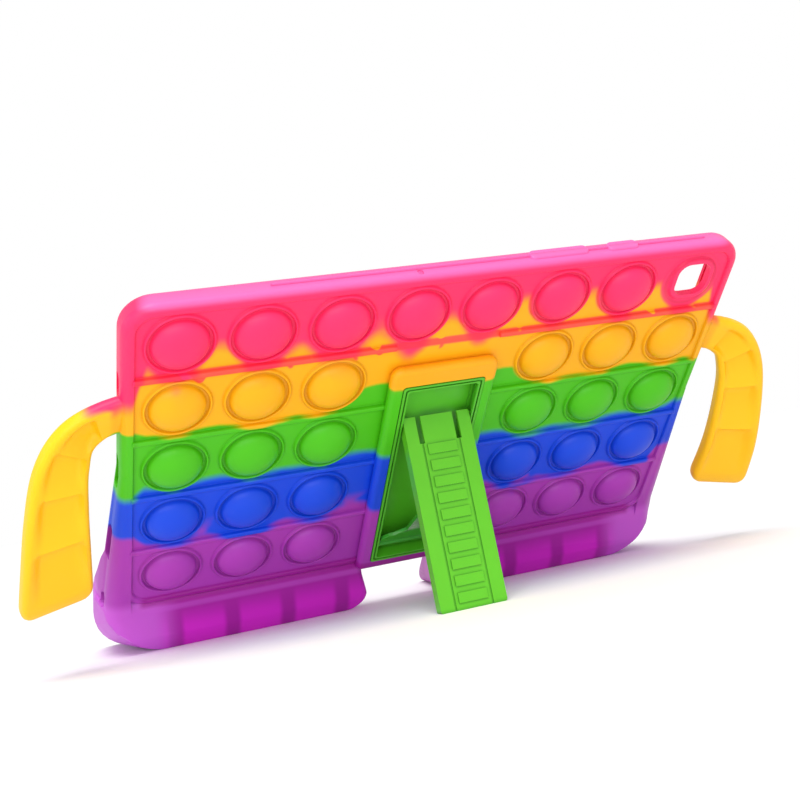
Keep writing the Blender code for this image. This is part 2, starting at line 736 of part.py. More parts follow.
def make_stand_frame(root):
    seat = BACK_WALL - SEAT_GAP
    body = outline_mesh(window_outline(0.0), -FRAME_FRONT, seat - FLANGE_DEPTH / 2, "Y")
    frame = add_object("stand_frame", body, root)
    flange = outline_mesh(window_outline(FLANGE_REACH), seat - FLANGE_DEPTH, seat, "Y")
    boolean(frame, "UNION", add_object("frame_flange", flange, root, cutter=True))
    floor = seat - FRAME_FLOOR
    recess = outline_mesh(window_outline(-FRAME_RIM), -FRAME_FRONT - EPS, floor, "Y")
    boolean(frame, "DIFFERENCE", add_object("frame_recess", recess, root, cutter=True))

    half = FRAME_WIDTH / 2 - FRAME_RIM + PIN_REACH + PIN_GAP
    level = PIVOT_LEVEL + NUB_RISE
    nub_room = NUB_RADIUS + PIN_GAP
    channel_low = BRACE_PIVOT_UP + CHANNEL_START
    channel_high = BRACE_PIVOT_UP + BRACE_LENGTH + LEG_ARM + nub_room
    channel = box((-half, half), (level - nub_room - CHANNEL_SLACK, level + nub_room), (channel_low, channel_high))
    boolean(frame, "DIFFERENCE", add_object("frame_channels", channel, root, cutter=True))
    seats = rod(PIN_RADIUS + PIN_GAP, -half, half, BRACE_PIVOT_UP, PIVOT_LEVEL)
    boolean(frame, "DIFFERENCE", add_object("frame_pin_seats", seats, root, cutter=True))
    latch_up = BRACE_PIVOT_UP + LATCH_PLACE
    latch = box((-half, half), (level - LATCH_DEPTH / 2, level + LATCH_DEPTH / 2),
                (latch_up - LATCH_LENGTH / 2, latch_up + LATCH_LENGTH / 2))
    boolean(frame, "DIFFERENCE", add_object("frame_latch_notches", latch, root, cutter=True))
    finish_part(frame)


def make_stand_brace(root):
    """The brace, drawn folded up the back from its barrel, then turned open about the barrel."""
    barrel_half = LEG_WIDTH / 2
    half = barrel_half - SEAT_GAP
    pivot = Vector((0, -PIVOT_LEVEL, BRACE_PIVOT_UP))
    plate_half = BRACE_DEPTH / 2
    low = -SEAT_GAP
    head = BRACE_LENGTH + SEAT_GAP
    outline = [(-half, low), (half, low), (half, BRACE_FOOT - 0.0030), (half - 0.0030, BRACE_FOOT),
               (BRACE_NECK + 0.0045, BRACE_FOOT + 0.0005), (BRACE_NECK, BRACE_FOOT + 0.0045),
               (BRACE_NECK, head), (-BRACE_NECK, head), (-BRACE_NECK, BRACE_FOOT + 0.0045),
               (-BRACE_NECK - 0.0045, BRACE_FOOT + 0.0005), (-half + 0.0030, BRACE_FOOT),
               (-half, BRACE_FOOT - 0.0030)]
    brace = add_object("stand_brace", outline_mesh(outline, -plate_half, plate_half, "Y"), root)
    brace.location = pivot
    brace.rotation_euler = (brace_angle(), 0, 0)
    pin_half = barrel_half + SEAT_GAP + PIN_REACH
    eye_half = EAR_PLACE - EAR_THICKNESS / 2 - SEAT_GAP * 2
    top_pin_half = EAR_PLACE + EAR_THICKNESS / 2 + 0.0008
    pieces = {
        "brace_barrel": pinned_rod(BARREL_RADIUS, barrel_half, PIN_RADIUS, pin_half, 0),
        "brace_eye": pinned_rod(BARREL_RADIUS, eye_half, PIN_RADIUS, top_pin_half, BRACE_LENGTH),
    }
    for name, mesh in pieces.items():
        boolean(brace, "UNION", add_object(name, mesh, brace, cutter=True))
    finish_part(brace)


def make_stand_leg(root):
    """The leg, drawn hanging from its sliding pins with its pivot eye at the origin, then turned."""
    half = LEG_WIDTH / 2
    head = LEG_ARM + LEG_OVERRUN
    tip = leg_tip()
    face = LEG_FACE
    inner = LEG_FACE - LEG_SKIN
    plate = rounded(-half, half, tip, head, (0.0014, 0.0014, 0.0010, 0.0010), 3)
    leg = add_object("stand_leg", outline_mesh(plate, -face, LEG_RAIL_DROP, "Y"), root)
    up, out = joint_place()
    leg.location = (0, -out, up)
    leg.rotation_euler = (-radians(LEG_ANGLE), 0, 0)

    cut_half = half - LEG_RAIL
    rail_end = head - LEG_TAB_LENGTH
    nose = [(LEG_RAIL_DROP + EPS, head + EPS), (LEG_TAB_DROP, head + EPS), (LEG_TAB_DROP, rail_end),
            (LEG_RAIL_DROP + EPS, rail_end - LEG_RAIL_DROP)]
    reach = 0.010
    slope = tan(radians(LEG_ANGLE - CASE_LEAN)) * reach
    sole = [(-reach, sole_place() - slope), (reach, sole_place() + slope),
            (reach, tip - reach), (-reach, tip - reach)]
    cuts = {
        "leg_channel": box((-cut_half, cut_half), (-reach, inner), (tip - EPS, head + EPS)),
        "leg_nose": outline_mesh(nose, -half - EPS, half + EPS, "X"),
        "leg_sole": outline_mesh(sole, -half - EPS, half + EPS, "X"),
    }
    slots = []
    grooves = []
    for side in (-1, 1):
        place = side * SLOT_PLACE
        slots.append(box((place - SLOT_WIDTH / 2, place + SLOT_WIDTH / 2), (-0.010, 0.010),
                         (head - SLOT_LENGTH, head + EPS)))
        grooves.append(box((place - GROOVE_WIDTH / 2, place + GROOVE_WIDTH / 2),
                           (face - GROOVE_DEPTH, face + EPS), (tip - EPS, head - SLOT_LENGTH + EPS)))
    cuts["leg_slots"] = merged(slots)
    cuts["leg_grooves"] = merged(grooves)
    for name, mesh in cuts.items():
        boolean(leg, "DIFFERENCE", add_object(name, mesh, leg, cutter=True))

    ears = []
    for side in (-1, 1):
        place = side * EAR_PLACE
        thick = EAR_THICKNESS / 2
        arc = [(radians(180 + 180 * step / 6)) for step in range(7)]
        ear = [(-EYE_RADIUS * sin(angle), -EYE_RADIUS * cos(angle)) for angle in arc]
        ear += [(-inner - 0.0003, -EYE_RADIUS), (-inner - 0.0003, EYE_RADIUS)]
        ears.append(outline_mesh(ear, place - thick, place + thick, "X"))
    rungs = []
    for index in range(RUNG_COUNT):
        low = tip + 0.0030 + index * RUNG_PITCH
        rungs.append(box((-RUNG_HALF, RUNG_HALF), (face - 0.0004, face + RUNG_RISE), (low, low + RUNG_SIZE)))
    nub_ends = (half - LEG_RAIL / 2, half + SEAT_GAP + PIN_REACH)
    nubs = merged([rod(NUB_RADIUS, nub_ends[0], nub_ends[1], LEG_ARM, NUB_RISE),
                   rod(NUB_RADIUS, -nub_ends[1], -nub_ends[0], LEG_ARM, NUB_RISE)])
    for name, mesh in (("leg_ears", merged(ears)), ("leg_rungs", merged(rungs)), ("leg_nubs", nubs)):
        boolean(leg, "UNION", add_object(name, mesh, leg, cutter=True))
    eyes = rod(PIN_RADIUS + PIN_GAP, -0.0105, 0.0105, 0, 0)
    boolean(leg, "DIFFERENCE", add_object("leg_eyes", eyes, leg, cutter=True))
    weld(leg)
    finish_part(leg)


def settle(root):
    """Tilts the case onto its feet and leg, and centres its outline over the origin."""
    root.rotation_euler = (radians(CASE_LEAN), 0, 0)
    root.location = (0, 0, -ground_level())
    bpy.context.view_layer.update()
    graph = bpy.context.evaluated_depsgraph_get()
    depths = []
    for part in bpy.data.collections[PARTS].objects:
        evaluated = part.evaluated_get(graph)
        depths += [(evaluated.matrix_world @ vertex.co).y for vertex in evaluated.data.vertices]
    root.location.y = -(min(depths) + max(depths)) / 2
    bpy.context.view_layer.update()


def main():
    clear_scene()
    root = bpy.data.objects.new("case_tilt", None)
    bpy.context.scene.collection.objects.link(root)
    make_silicone_case(root)
    make_stand_frame(root)
    make_stand_brace(root)
    make_stand_leg(root)
    settle(root)


main()
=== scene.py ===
import json
from math import cos, exp, pi, radians, sin

import bmesh
import bpy
from mathutils import Matrix, Vector


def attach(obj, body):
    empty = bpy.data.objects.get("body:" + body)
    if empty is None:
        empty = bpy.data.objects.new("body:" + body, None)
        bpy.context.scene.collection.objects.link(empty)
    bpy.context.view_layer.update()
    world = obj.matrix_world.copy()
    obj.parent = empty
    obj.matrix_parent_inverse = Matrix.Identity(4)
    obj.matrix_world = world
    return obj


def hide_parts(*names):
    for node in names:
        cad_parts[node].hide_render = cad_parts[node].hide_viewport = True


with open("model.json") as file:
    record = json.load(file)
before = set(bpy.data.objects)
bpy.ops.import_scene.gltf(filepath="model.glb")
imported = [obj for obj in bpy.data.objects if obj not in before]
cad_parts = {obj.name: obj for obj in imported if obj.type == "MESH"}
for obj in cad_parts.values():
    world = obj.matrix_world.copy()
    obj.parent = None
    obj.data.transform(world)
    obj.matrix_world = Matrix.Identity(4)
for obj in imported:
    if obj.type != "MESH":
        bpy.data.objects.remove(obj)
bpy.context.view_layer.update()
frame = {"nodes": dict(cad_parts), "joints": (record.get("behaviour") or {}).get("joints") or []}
print("frame loaded")

# the case is drawn flat, then leaned back: X right seen from behind, Z up the back, -Y out of the back
lean = {"angle": 47.6, "hingeUp": 0.0145, "hingeOut": 0.0008}
leanTurn = Matrix.Rotation(radians(lean["angle"]), 4, "X")
braceHinge = Vector([j for j in frame["joints"] if j["name"] == "brace_fold"][0]["pos_m"])
leanCorner = braceHinge - leanTurn @ Vector((0, -lean["hingeOut"], lean["hingeUp"]))
leanMatrix = Matrix.Translation(leanCorner) @ leanTurn
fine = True
tiny = 0.001
weldReach = 1e-6


# mesh tools

def addObject(name, data):
    made = bpy.data.objects.new(name, data)
    bpy.context.scene.collection.objects.link(made)
    return made


def removeObjects(parts):
    for part in parts:
        bpy.data.objects.remove(part, do_unlink=True)


def meshOf(work, name):
    mesh = bpy.data.meshes.new(name)
    work.to_mesh(mesh)
    work.free()
    return mesh


def loftMesh(rings):
    work = bmesh.new()
    made = [[work.verts.new(point) for point in ring] for ring in rings]
    for first, second in zip(made, made[1:]):
        for index in range(len(first)):
            after = (index + 1) % len(first)
            work.faces.new((first[index], first[after], second[after], second[index]))
    work.faces.new(made[0])
    work.faces.new(made[-1])
    bmesh.ops.recalc_face_normals(work, faces=work.faces)
    return meshOf(work, "loft")


def plateMesh(outlines):
    # outlines of (x, z) points, each with its depth under the back
    return loftMesh([[(x, depth, z) for x, z in points] for points, depth in outlines])


def sideMesh(points, low, high):
    # an outline of (depth, z) points carried along X
    return loftMesh([[(x, depth, z) for depth, z in points] for x in (low, high)])


def turnedMesh(profile, sides):
    # a profile of (radius, height) turned about -Y, with both its ends on the axis
    work = bmesh.new()
    rings = []
    for radius, height in profile:
        count = sides if radius > 1e-9 else 1
        angles = [2 * pi * step / sides for step in range(count)]
        rings.append([work.verts.new((radius * cos(a), -height, radius * sin(a))) for a in angles])
    for first, second in zip(rings, rings[1:]):
        for step in range(sides):
            corners = [first[step % len(first)], first[(step + 1) % len(first)],
                       second[(step + 1) % len(second)], second[step % len(second)]]
            work.faces.new(list(dict.fromkeys(corners)))
    bmesh.ops.recalc_face_normals(work, faces=work.faces)
    return meshOf(work, "turned")


def joined(meshes):
    work = bmesh.new()
    for mesh in meshes:
        work.from_mesh(mesh)
    return meshOf(work, "joined")


def arc(x, z, radius, start, steps):
    angles = [radians(start + 90 * step / steps) for step in range(steps + 1)]
    return [(x + radius * cos(angle), z + radius * sin(angle)) for angle in angles]


def roundRect(lowX, highX, lowZ, highZ, radii, steps=10):
    a, b, c, d = radii
    return (arc(lowX + a, lowZ + a, a, 180, steps) + arc(highX - b, lowZ + b, b, 270, steps)
            + arc(highX - c, highZ - c, c, 0, steps) + arc(lowX + d, highZ - d, d, 90, steps))


def addBevel(part, width, segments, angle=40):
    step = part.modifiers.new("softEdge", "BEVEL")
    step.width = width
    step.segments = segments
    step.limit_method = "ANGLE"
    step.angle_limit = radians(angle)
    return step


def addBoolean(part, operation, other):
    step = part.modifiers.new(other.name, "BOOLEAN")
    step.operation = operation
    step.solver = "EXACT"
    step.object = other
    other.hide_render = True


def bakedMesh(part):
    graph = bpy.context.evaluated_depsgraph_get()
    mesh = bpy.data.meshes.new_from_object(part.evaluated_get(graph))
    part.modifiers.clear()
    return mesh


def finishMesh(part, material, sharpAngle):
    # smooth shading that follows the large faces, kept as custom normals
    part.data.materials.clear()
    part.data.materials.append(material)
    part.data.shade_smooth()
    part.data.set_sharp_from_angle(angle=radians(sharpAngle))
    step = part.modifiers.new("normals", "WEIGHTED_NORMAL")
    step.keep_sharp = True
    part.data = bakedMesh(part)


def clamp(value):
    return min(max(value, 0.0), 1.0)


class NodeTools:
    # short ways to add nodes to one tree
    def __init__(self, tree):
        self.nodes, self.links = tree.nodes, tree.links

    def put(self, value, socket):
        if isinstance(value, bpy.types.NodeSocket):
            self.links.new(value, socket)
        elif value is not None:
            socket.default_value = value

    def setAll(self, node, values):
        for name, value in values.items():
            self.put(value, node.inputs[name])

    def add(self, kind, inputs=None, **settings):
        node = self.nodes.new(kind)
        for name, value in settings.items():
            setattr(node, name, value)
        self.setAll(node, inputs or {})
        return node

    def math(self, operation, first, second=None, third=None):
        node = self.add("ShaderNodeMath", {0: first, 1: second, 2: third}, operation=operation)
        return node.outputs[0]

    def times(self, total, *others):
        for other in others:
            total = self.math("MULTIPLY", total, other)
        return total

    def minus(self, first, second):
        return self.math("SUBTRACT", first, second)

    def ease(self, value, low, high, start=0.0, end=1.0, kind="SMOOTHSTEP"):
        inputs = {0: value, 1: low, 2: high, 3: start, 4: end}
        return self.add("ShaderNodeMapRange", inputs, interpolation_type=kind).outputs[0]

    def mix(self, factor, first, second, blend="MIX"):
        inputs = {"Factor": factor, "A": first, "B": second}
        return self.add("ShaderNodeMix", inputs, data_type="RGBA", blend_type=blend).outputs["Result"]

    def noise(self, vector, scale, detail):
        inputs = {"Vector": vector, "Scale": scale, "Detail": detail}
        return self.add("ShaderNodeTexNoise", inputs).outputs["Fac"]

    def seededNoise(self, vector, scale, detail, seed):
        # from -0.5 to 0.5
        inputs = {"Vector": vector, "W": seed, "Scale": scale, "Detail": detail}
        return self.minus(self.add("ShaderNodeTexNoise", inputs, noise_dimensions="4D").outputs["Fac"], 0.5)


# the case's shell

shell = {"width": 0.2500, "height": 0.1575, "depth": 0.0116, "corner": 0.01225, "edgeRound": 0.0038,
         "sideWall": 0.00425, "backWall": 0.0028, "tabletDepth": 0.0074, "tabletCorner": 0.0080,
         "lipReach": 0.0026, "rimDroop": 0.0016, "panelBorder": 0.0046, "panelDepth": 0.0009}
halfWidth = shell["width"] / 2


def shellOutline(inset, corner):
    half = halfWidth - inset
    return roundRect(-half, half, inset, shell["height"] - inset, (corner,) * 4, 12)


def makeShell():
    outline = shellOutline(0, shell["corner"])
    mesh = plateMesh([(outline, 0.0), (outline, shell["depth"])])
    for vertex in mesh.vertices:
        if vertex.co.y > tiny and vertex.co.z > shell["height"] / 2:
            vertex.co.z -= shell["rimDroop"] * (vertex.co.z / shell["height"]) ** 4
    case = addObject("rainbowCase", mesh)
    addBevel(case, shell["edgeRound"], 7 if fine else 3)
    case.data = bakedMesh(case)
    # the panel that holds the bubbles is sunk a little, with a soft edge
    border = shell["panelBorder"]
    corner = shell["corner"] - border
    steps = ((-0.0004, -0.0010), (-0.0002, 0.0001), (0.0001, 0.0003), (0.0003, shell["panelDepth"]))
    rings = [(shellOutline(border + grow, corner), depth) for grow, depth in steps]
    addBoolean(case, "DIFFERENCE", addObject("panelCut", plateMesh(rings)))
    return case


# the bubble field: one bubble, set out on a grid by geometry nodes

bubbles = {"pitchAcross": 0.0299, "pitchUp": 0.0297, "columns": 8, "rows": 5, "topDrop": 0.0180,
           "ringRadius": 0.0129, "ringWidth": 0.0010, "ringHeight": 0.0012, "domeHeight": 0.0046,
           "domeRadius": 0.0106, "wall": 0.0013, "sides": 48 if fine else 20}
topRow = shell["height"] - bubbles["topDrop"]
firstRib = topRow - bubbles["pitchUp"] / 2


def bubbleProfile():
    ring, dome = bubbles["ringRadius"], bubbles["domeRadius"]
    inner = ring - bubbles["ringWidth"]
    base = -shell["panelDepth"]
    high, rise = bubbles["domeHeight"], bubbles["ringHeight"]
    points = [(0.0, high)]
    count = 14 if fine else 6
    for step in range(1, count):
        turn = step / count * pi / 2
        points.append((dome * sin(turn), base + (high - base) * cos(turn) ** 0.95))
    # the dome's foot, the floor of the moat, the ring's bead and the root under the panel
    moat, root = base + 0.00003, base - 0.0006
    points += [(dome + 0.00012, base + 0.0002), (dome + 0.0003, moat)]
    points += [(inner - 0.0002, moat), (inner, base + 0.0002), (inner + 0.0001, base + rise * 0.72),
               (inner + 0.0003, base + rise * 0.96), (ring - 0.0004, base + rise)]
    points += [(ring - 0.0001, base + rise * 0.80), (ring + 0.0001, base + rise * 0.30),
               (ring + 0.00035, base + 0.00005), (ring + 0.0007, base - 0.0002)]
    return points + [(ring + 0.0007, root), (0.0, root)]


def hollowProfile():
    dome = bubbles["domeRadius"]
    high = bubbles["domeHeight"] - bubbles["wall"]
    low = -shell["panelDepth"]
    points = [(0.0, high)]
    for step in range(1, 7):
        turn = step / 7 * pi / 2
        points.append((dome * 0.86 * sin(turn), low + (high - low) * cos(turn) ** 0.9))
    deep = -shell["backWall"] - tiny
    return points + [(dome * 0.87, low - 0.0003), (dome * 0.90, deep), (0.0, deep)]


def bubbleTree():
    tree = bpy.data.node_groups.new("bubbleField", "GeometryNodeTree")
    face = tree.interface
    face.new_socket("Geometry", in_out="OUTPUT", socket_type="NodeSocketGeometry")
    face.new_socket("Geometry", in_out="INPUT", socket_type="NodeSocketGeometry")
    inputs = {}
    for name, kind, value in (("Pitch Across", "NodeSocketFloat", bubbles["pitchAcross"]),
                              ("Pitch Up", "NodeSocketFloat", bubbles["pitchUp"]),
                              ("Columns", "NodeSocketInt", bubbles["columns"]),
                              ("Rows", "NodeSocketInt", bubbles["rows"]),
                              ("Top Row Up", "NodeSocketFloat", topRow),
                              ("Bubble", "NodeSocketObject", None),
                              ("Material", "NodeSocketMaterial", None)):
        socket = face.new_socket(name, in_out="INPUT", socket_type=kind)
        if value is not None:
            socket.default_value = value
        inputs[name] = socket.identifier
    tool = NodeTools(tree)
    given = tool.add("NodeGroupInput").outputs
    spanAcross = tool.times(given["Pitch Across"], tool.minus(given["Columns"], 1))
    spanUp = tool.times(given["Pitch Up"], tool.minus(given["Rows"], 1))
    grid = tool.add("GeometryNodeMeshGrid", {"Size X": spanAcross, "Size Y": spanUp,
                                             "Vertices X": given["Columns"], "Vertices Y": given["Rows"]})

    # no bubbles where the kickstand's window is, nor at the camera opening
    spot = tool.add("ShaderNodeSeparateXYZ", {0: tool.add("GeometryNodeInputPosition").outputs[0]}).outputs
    isLower = tool.math("LESS_THAN", spot["Y"], tool.minus(tool.times(spanUp, 0.5), tiny))
    isMiddle = tool.math("LESS_THAN", tool.math("ABSOLUTE", spot["X"]), given["Pitch Across"])
    isLast = tool.math("GREATER_THAN", spot["X"], tool.minus(tool.times(spanAcross, 0.5), tiny))
    isTop = tool.minus(1.0, isLower)
    taken = tool.math("MAXIMUM", tool.times(isLower, isMiddle), tool.times(isTop, isLast))
    points = tool.add("GeometryNodeDeleteGeometry", {"Geometry": grid.outputs["Mesh"], "Selection": taken})

    # the grid is made flat in X and Y, so it is stood up against the back
    up = tool.minus(given["Top Row Up"], tool.times(spanUp, 0.5))
    lift = tool.add("ShaderNodeCombineXYZ", {"Z": up})
    stood = tool.add("GeometryNodeTransform", {"Geometry": points.outputs[0], "Translation": lift.outputs[0],
                                               "Rotation": (pi / 2, 0, 0)})
    info = tool.add("GeometryNodeObjectInfo", {"Object": given["Bubble"]})
    spread = tool.add("GeometryNodeInstanceOnPoints", {"Points": stood.outputs[0],
                                                       "Instance": info.outputs["Geometry"]})
    real = tool.add("GeometryNodeRealizeInstances", {0: spread.outputs[0]})
    coat = tool.add("GeometryNodeSetMaterial", {"Geometry": real.outputs[0], "Material": given["Material"]})
    tool.add("NodeGroupOutput", {0: coat.outputs[0]})
    return tree, inputs


def makeField(name, profile, sides, tree, inputs, material):
    one = addObject(name + "One", turnedMesh(profile, sides))
    field = addObject(name, bpy.data.meshes.new(name))
    step = field.modifiers.new("field", "NODES")
    step.node_group = tree
    step[inputs["Bubble"]] = one
    step[inputs["Material"]] = material
    field.data = bakedMesh(field)
    removeObjects([one])
    return field


# the ribs between the rows

ribs = {"halfWidth": 0.0012, "height": 0.0017}


def makeRibs():
    half, high, base = ribs["halfWidth"], ribs["height"], shell["panelDepth"]
    section = [(-half - 0.0004, -0.0004), (-half - 0.0003, 0.00004), (-half, 0.00016),
               (-half * 0.94, high * 0.66), (-half * 0.74, high * 0.94), (-half * 0.40, high)]
    section += [(-offset, level) for offset, level in reversed(section)]
    inner = window["width"] / 2 + window["border"] - tiny
    outer = halfWidth - shell["panelBorder"] + 0.0006
    made = []
    for row in range(bubbles["rows"] - 1):
        up = topRow - (row + 0.5) * bubbles["pitchUp"]
        points = [(base - level, up + offset) for offset, level in section]
        made += [sideMesh(points, inner, outer), sideMesh(points, -outer, -inner)]
    return addObject("ribs", joined(made))


# the kickstand's window and its raised border

window = {"width": 0.0346, "height": 0.1008, "low": 0.0061, "corner": 0.0012, "gap": 0.0003,
          "border": 0.0054, "borderTop": 0.0086, "borderLow": 0.0006, "borderRise": 0.0038,
          "borderRound": 0.0024, "borderCorner": 0.0045, "flangeReach": 0.0030, "flangeDepth": 0.0011}


def makeWindowBorder():
    half = window["width"] / 2 + window["border"]
    top = window["low"] + window["height"] + window["borderTop"]
    bend, corner = window["borderRound"], window["borderCorner"]
    outline = roundRect(-half, half, window["borderLow"], top, (bend, bend, corner, corner), 8)
    border = addObject("windowBorder", plateMesh([(outline, -window["borderRise"]), (outline, tiny)]))
    addBevel(border, bend, 5)
    return border


def windowOutline(grow):
    half = window["width"] / 2 + grow
    corner = window["corner"] + max(grow, 0.0)
    low = window["low"]
    return roundRect(-half, half, low - grow, low + window["height"] + grow, (corner,) * 4, 5)


# the camera opening takes the last bubble's place in the top row

camera = {"size": 0.0150, "corner": 0.0050, "rim": 0.0022, "column": 3.5}
cameraAcross, cameraUp = camera["column"] * bubbles["pitchAcross"], topRow + tiny


def cameraOutline(reach, corner):
    return roundRect(cameraAcross - reach, cameraAcross + reach, cameraUp - reach, cameraUp + reach,
                     (corner,) * 4)


def makeCameraRim():
    reach = camera["size"] / 2 + camera["rim"]
    corner = camera["corner"] + camera["rim"]
    base = shell["panelDepth"]
    steps = ((0.0007, 0.0006), (0.0005, -0.00005), (0.0001, -0.0002), (-0.0001, -0.0006),
             (-0.0004, -0.0010), (-0.0008, -0.0011))
    rings = [(cameraOutline(reach + grow, corner + grow), base + depth) for grow, depth in steps]
    return addObject("cameraRim", plateMesh(rings))


# key pads, the mould's parting line and its notch, all on the top edge

keys = {"places": ((0.0420, 0.0245), (0.0700, 0.0130)), "width": 0.0042, "rise": 0.0004, "level": 0.0056}
seam = {"start": -0.0720, "end": 0.1080, "level": 0.0056, "notch": -0.0160}


def makeKeyPads():
    pads = []
    level, half, rise = keys["level"], keys["width"] / 2, keys["rise"]
    for middle, length in keys["places"]:
        rings = []
        for grow, up in ((0.0004, -0.0012), (0.0002, 0.0000), (0.0, rise * 0.8), (-0.0003, rise)):
            reach = length / 2 + grow
            points = roundRect(middle - reach, middle + reach, level - half - grow, level + half + grow,
                               (half * 0.9,) * 4, 7)
            rings.append([(x, depth, shell["height"] + up) for x, depth in points])
        pads.append(loftMesh(rings))
    return addObject("keyPads", joined(pads))


def makeSeam():
    level, top = seam["level"], shell["height"]
    section = [(level - 0.0004, top - 0.0006), (level - 0.0003, top + 0.00002), (level, top + 0.00022),
               (level + 0.0003, top + 0.00002), (level + 0.0004, top - 0.0006)]
    return addObject("seam", sideMesh(section, seam["start"], seam["end"]))


def makeNotch():
    x, top = seam["notch"], shell["height"]
    outline = roundRect(x - 0.0011, x + 0.0011, 0.0022, 0.0050, (0.0009,) * 4, 5)
    rings = [[(across, depth, top + up) for across, depth in outline] for up in (-0.0012, tiny)]
    return addObject("notch", loftMesh(rings))


# feet, and the side walls' flare down to them

feet = {"inner": 0.0150, "wall": 0.0036, "back": 0.0080, "front": 0.0330, "roundIn": 0.0120,
        "roundOut": 0.0190, "edge": 0.0046}
flare = {"reach": 0.0085, "top": 0.0800, "start": 0.1000, "heel": 0.22, "back": 0.56, "toe": 0.6,
         "backLevel": -0.0024, "toeLevel": 0.0202, "splay": 0.0150, "splayStart": 0.0450}
gusset = {"top": 0.0780, "wall": 0.0043, "inset": 0.0004, "depth": 0.0041}
toes = {"first": 0.0290, "pitch": 0.0247, "count": 4, "rib": 0.0026, "groove": 0.0015, "radius": 0.0045,
        "grooveTop": -0.0075, "grooveLength": 0.0520}
flareCuts = (flare["backLevel"], 0.0021, 0.0071, shell["depth"])
groundLevel = -leanCorner.z


def groundUp(out):
    angle = radians(lean["angle"])
    return (groundLevel + out * sin(angle)) / cos(angle)


def footProfile(inset):
    back = -feet["back"] + inset
    toe = feet["front"] - inset
    drop = tiny if inset == 0 else 4 * tiny
    toeUp = groundUp(-toe) - drop
    ankle, top = 0.0006 + inset, 0.0030 - inset
    return [(ankle, top), (ankle - 0.0030 + inset * 0.2, -0.0045 - inset), (back + 0.0008, -0.0120 - inset),
            (back, groundUp(-back) - drop), (toe, toeUp), (toe, toeUp + 0.030),
            (toe - 0.0030, -0.0090 - inset), (toe - 0.0090, -0.0010 - inset),
            (shell["depth"] - 0.0006 - inset, top)]


def footBlock(side, inset):
    low, high = sorted((side * (feet["inner"] + inset), side * (halfWidth - inset)))
    return sideMesh(footProfile(inset), low, high)


def footLimit(side, inset):
    # seen along the ground, with rounded lower corners
    roundIn, roundOut = feet["roundIn"], feet["roundOut"]
    inner, outer = feet["inner"] + inset, halfWidth - inset
    if inset == 0:
        points = roundRect(inner, outer, 0, 0.16, (roundIn, roundOut, 0.001, 0.001), 9)
    else:
        innerTurn, outerTurn = feet["inner"] + roundIn, halfWidth - roundOut
        innerArc, outerArc = [(turn - inset) * sin(pi / 4) for turn in (roundIn, roundOut)]
        points = [(inner, 0.16), (inner, roundIn), (innerTurn - innerArc, roundIn - innerArc),
                  (innerTurn + inset, tiny), (innerTurn + inset, -0.01), (outerTurn - inset, -0.01),
                  (outerTurn - inset, tiny), (outerTurn + outerArc, roundOut - outerArc),
                  (outer, roundOut), (outer, 0.16)]
    if side < 0:
        points = [(-x, z) for x, z in reversed(points)]
    mesh = plateMesh([(points, -0.3), (points, 0.3)])
    mesh.transform(leanTurn.inverted() @ Matrix.Translation((0, 0, groundLevel)))
    return mesh


def flareShare(depth):
    back, rim = flare["backLevel"], shell["depth"]
    if depth < back:
        share = clamp((depth + feet["back"]) / (back + feet["back"]))
        return flare["heel"] + (flare["back"] - flare["heel"]) * share
    if depth < rim:
        return flare["back"] + (1 - flare["back"]) * (depth - back) / (rim - back)
    return 1 - (1 - flare["toe"]) * (depth - rim) / (feet["front"] - rim)


def flarePart(part, start, end, cuts):
    work = bmesh.new()
    work.from_mesh(bakedMesh(part))
    bmesh.ops.remove_doubles(work, verts=work.verts, dist=weldReach)
    for depth in cuts:
        whole = work.verts[:] + work.edges[:] + work.faces[:]
        bmesh.ops.bisect_plane(work, geom=whole, plane_co=(0, depth, 0), plane_no=(0, 1, 0), dist=weldReach)
    for vertex in work.verts:
        x, depth, up = vertex.co
        side = 1 if x > 0 else -1
        outward = clamp((abs(x) - start) / (end - start))
        drop = clamp((flare["top"] - up) / flare["top"])
        inward = clamp((flare["splayStart"] - abs(x)) / (flare["splayStart"] - feet["inner"]))
        reach = clamp((depth + feet["back"]) / (feet["back"] + feet["front"]))
        outward *= flare["reach"] * drop * flareShare(depth)
        vertex.co.x += side * (outward + flare["splay"] * reach * inward)
    bmesh.ops.triangulate(work, faces=[face for face in work.faces if len(face.verts) > 4])
    work.to_mesh(part.data)
    work.free()


def makeFoot(side, word):
    foot = addObject(word + "Foot", footBlock(side, 0))
    addBevel(foot, feet["edge"], 6 if fine else 3, 60)
    limit = addObject(word + "Limit", footLimit(side, 0))
    addBoolean(foot, "INTERSECT", limit)
    flarePart(foot, flare["start"], halfWidth, flareCuts + (flare["toeLevel"],))
    removeObjects([limit])
    return foot


def makeHollow(side, word):
    hollow = addObject(word + "Hollow", footBlock(side, feet["wall"]))
    limit = addObject(word + "HollowLimit", footLimit(side, feet["wall"]))
    addBoolean(hollow, "INTERSECT", limit)
    flarePart(hollow, flare["start"], halfWidth, (flareCuts[0], flareCuts[-1]))
    # the toe walls are left standing in the foot
    walls = []
    for index in range(1, toes["count"]):
        x = side * (toes["first"] + index * toes["pitch"])
        half = toes["rib"] / 2
        outline = [(x - half, -0.15), (x + half, -0.15), (x + half, 0.05), (x - half, 0.05)]
        walls.append(plateMesh([(outline, -0.05), (outline, 0.09)]))
    cells = addObject(word + "Cells", joined(walls))
    addBoolean(hollow, "DIFFERENCE", cells)
    hollow.data = bakedMesh(hollow)
    removeObjects([limit, cells])
    return hollow


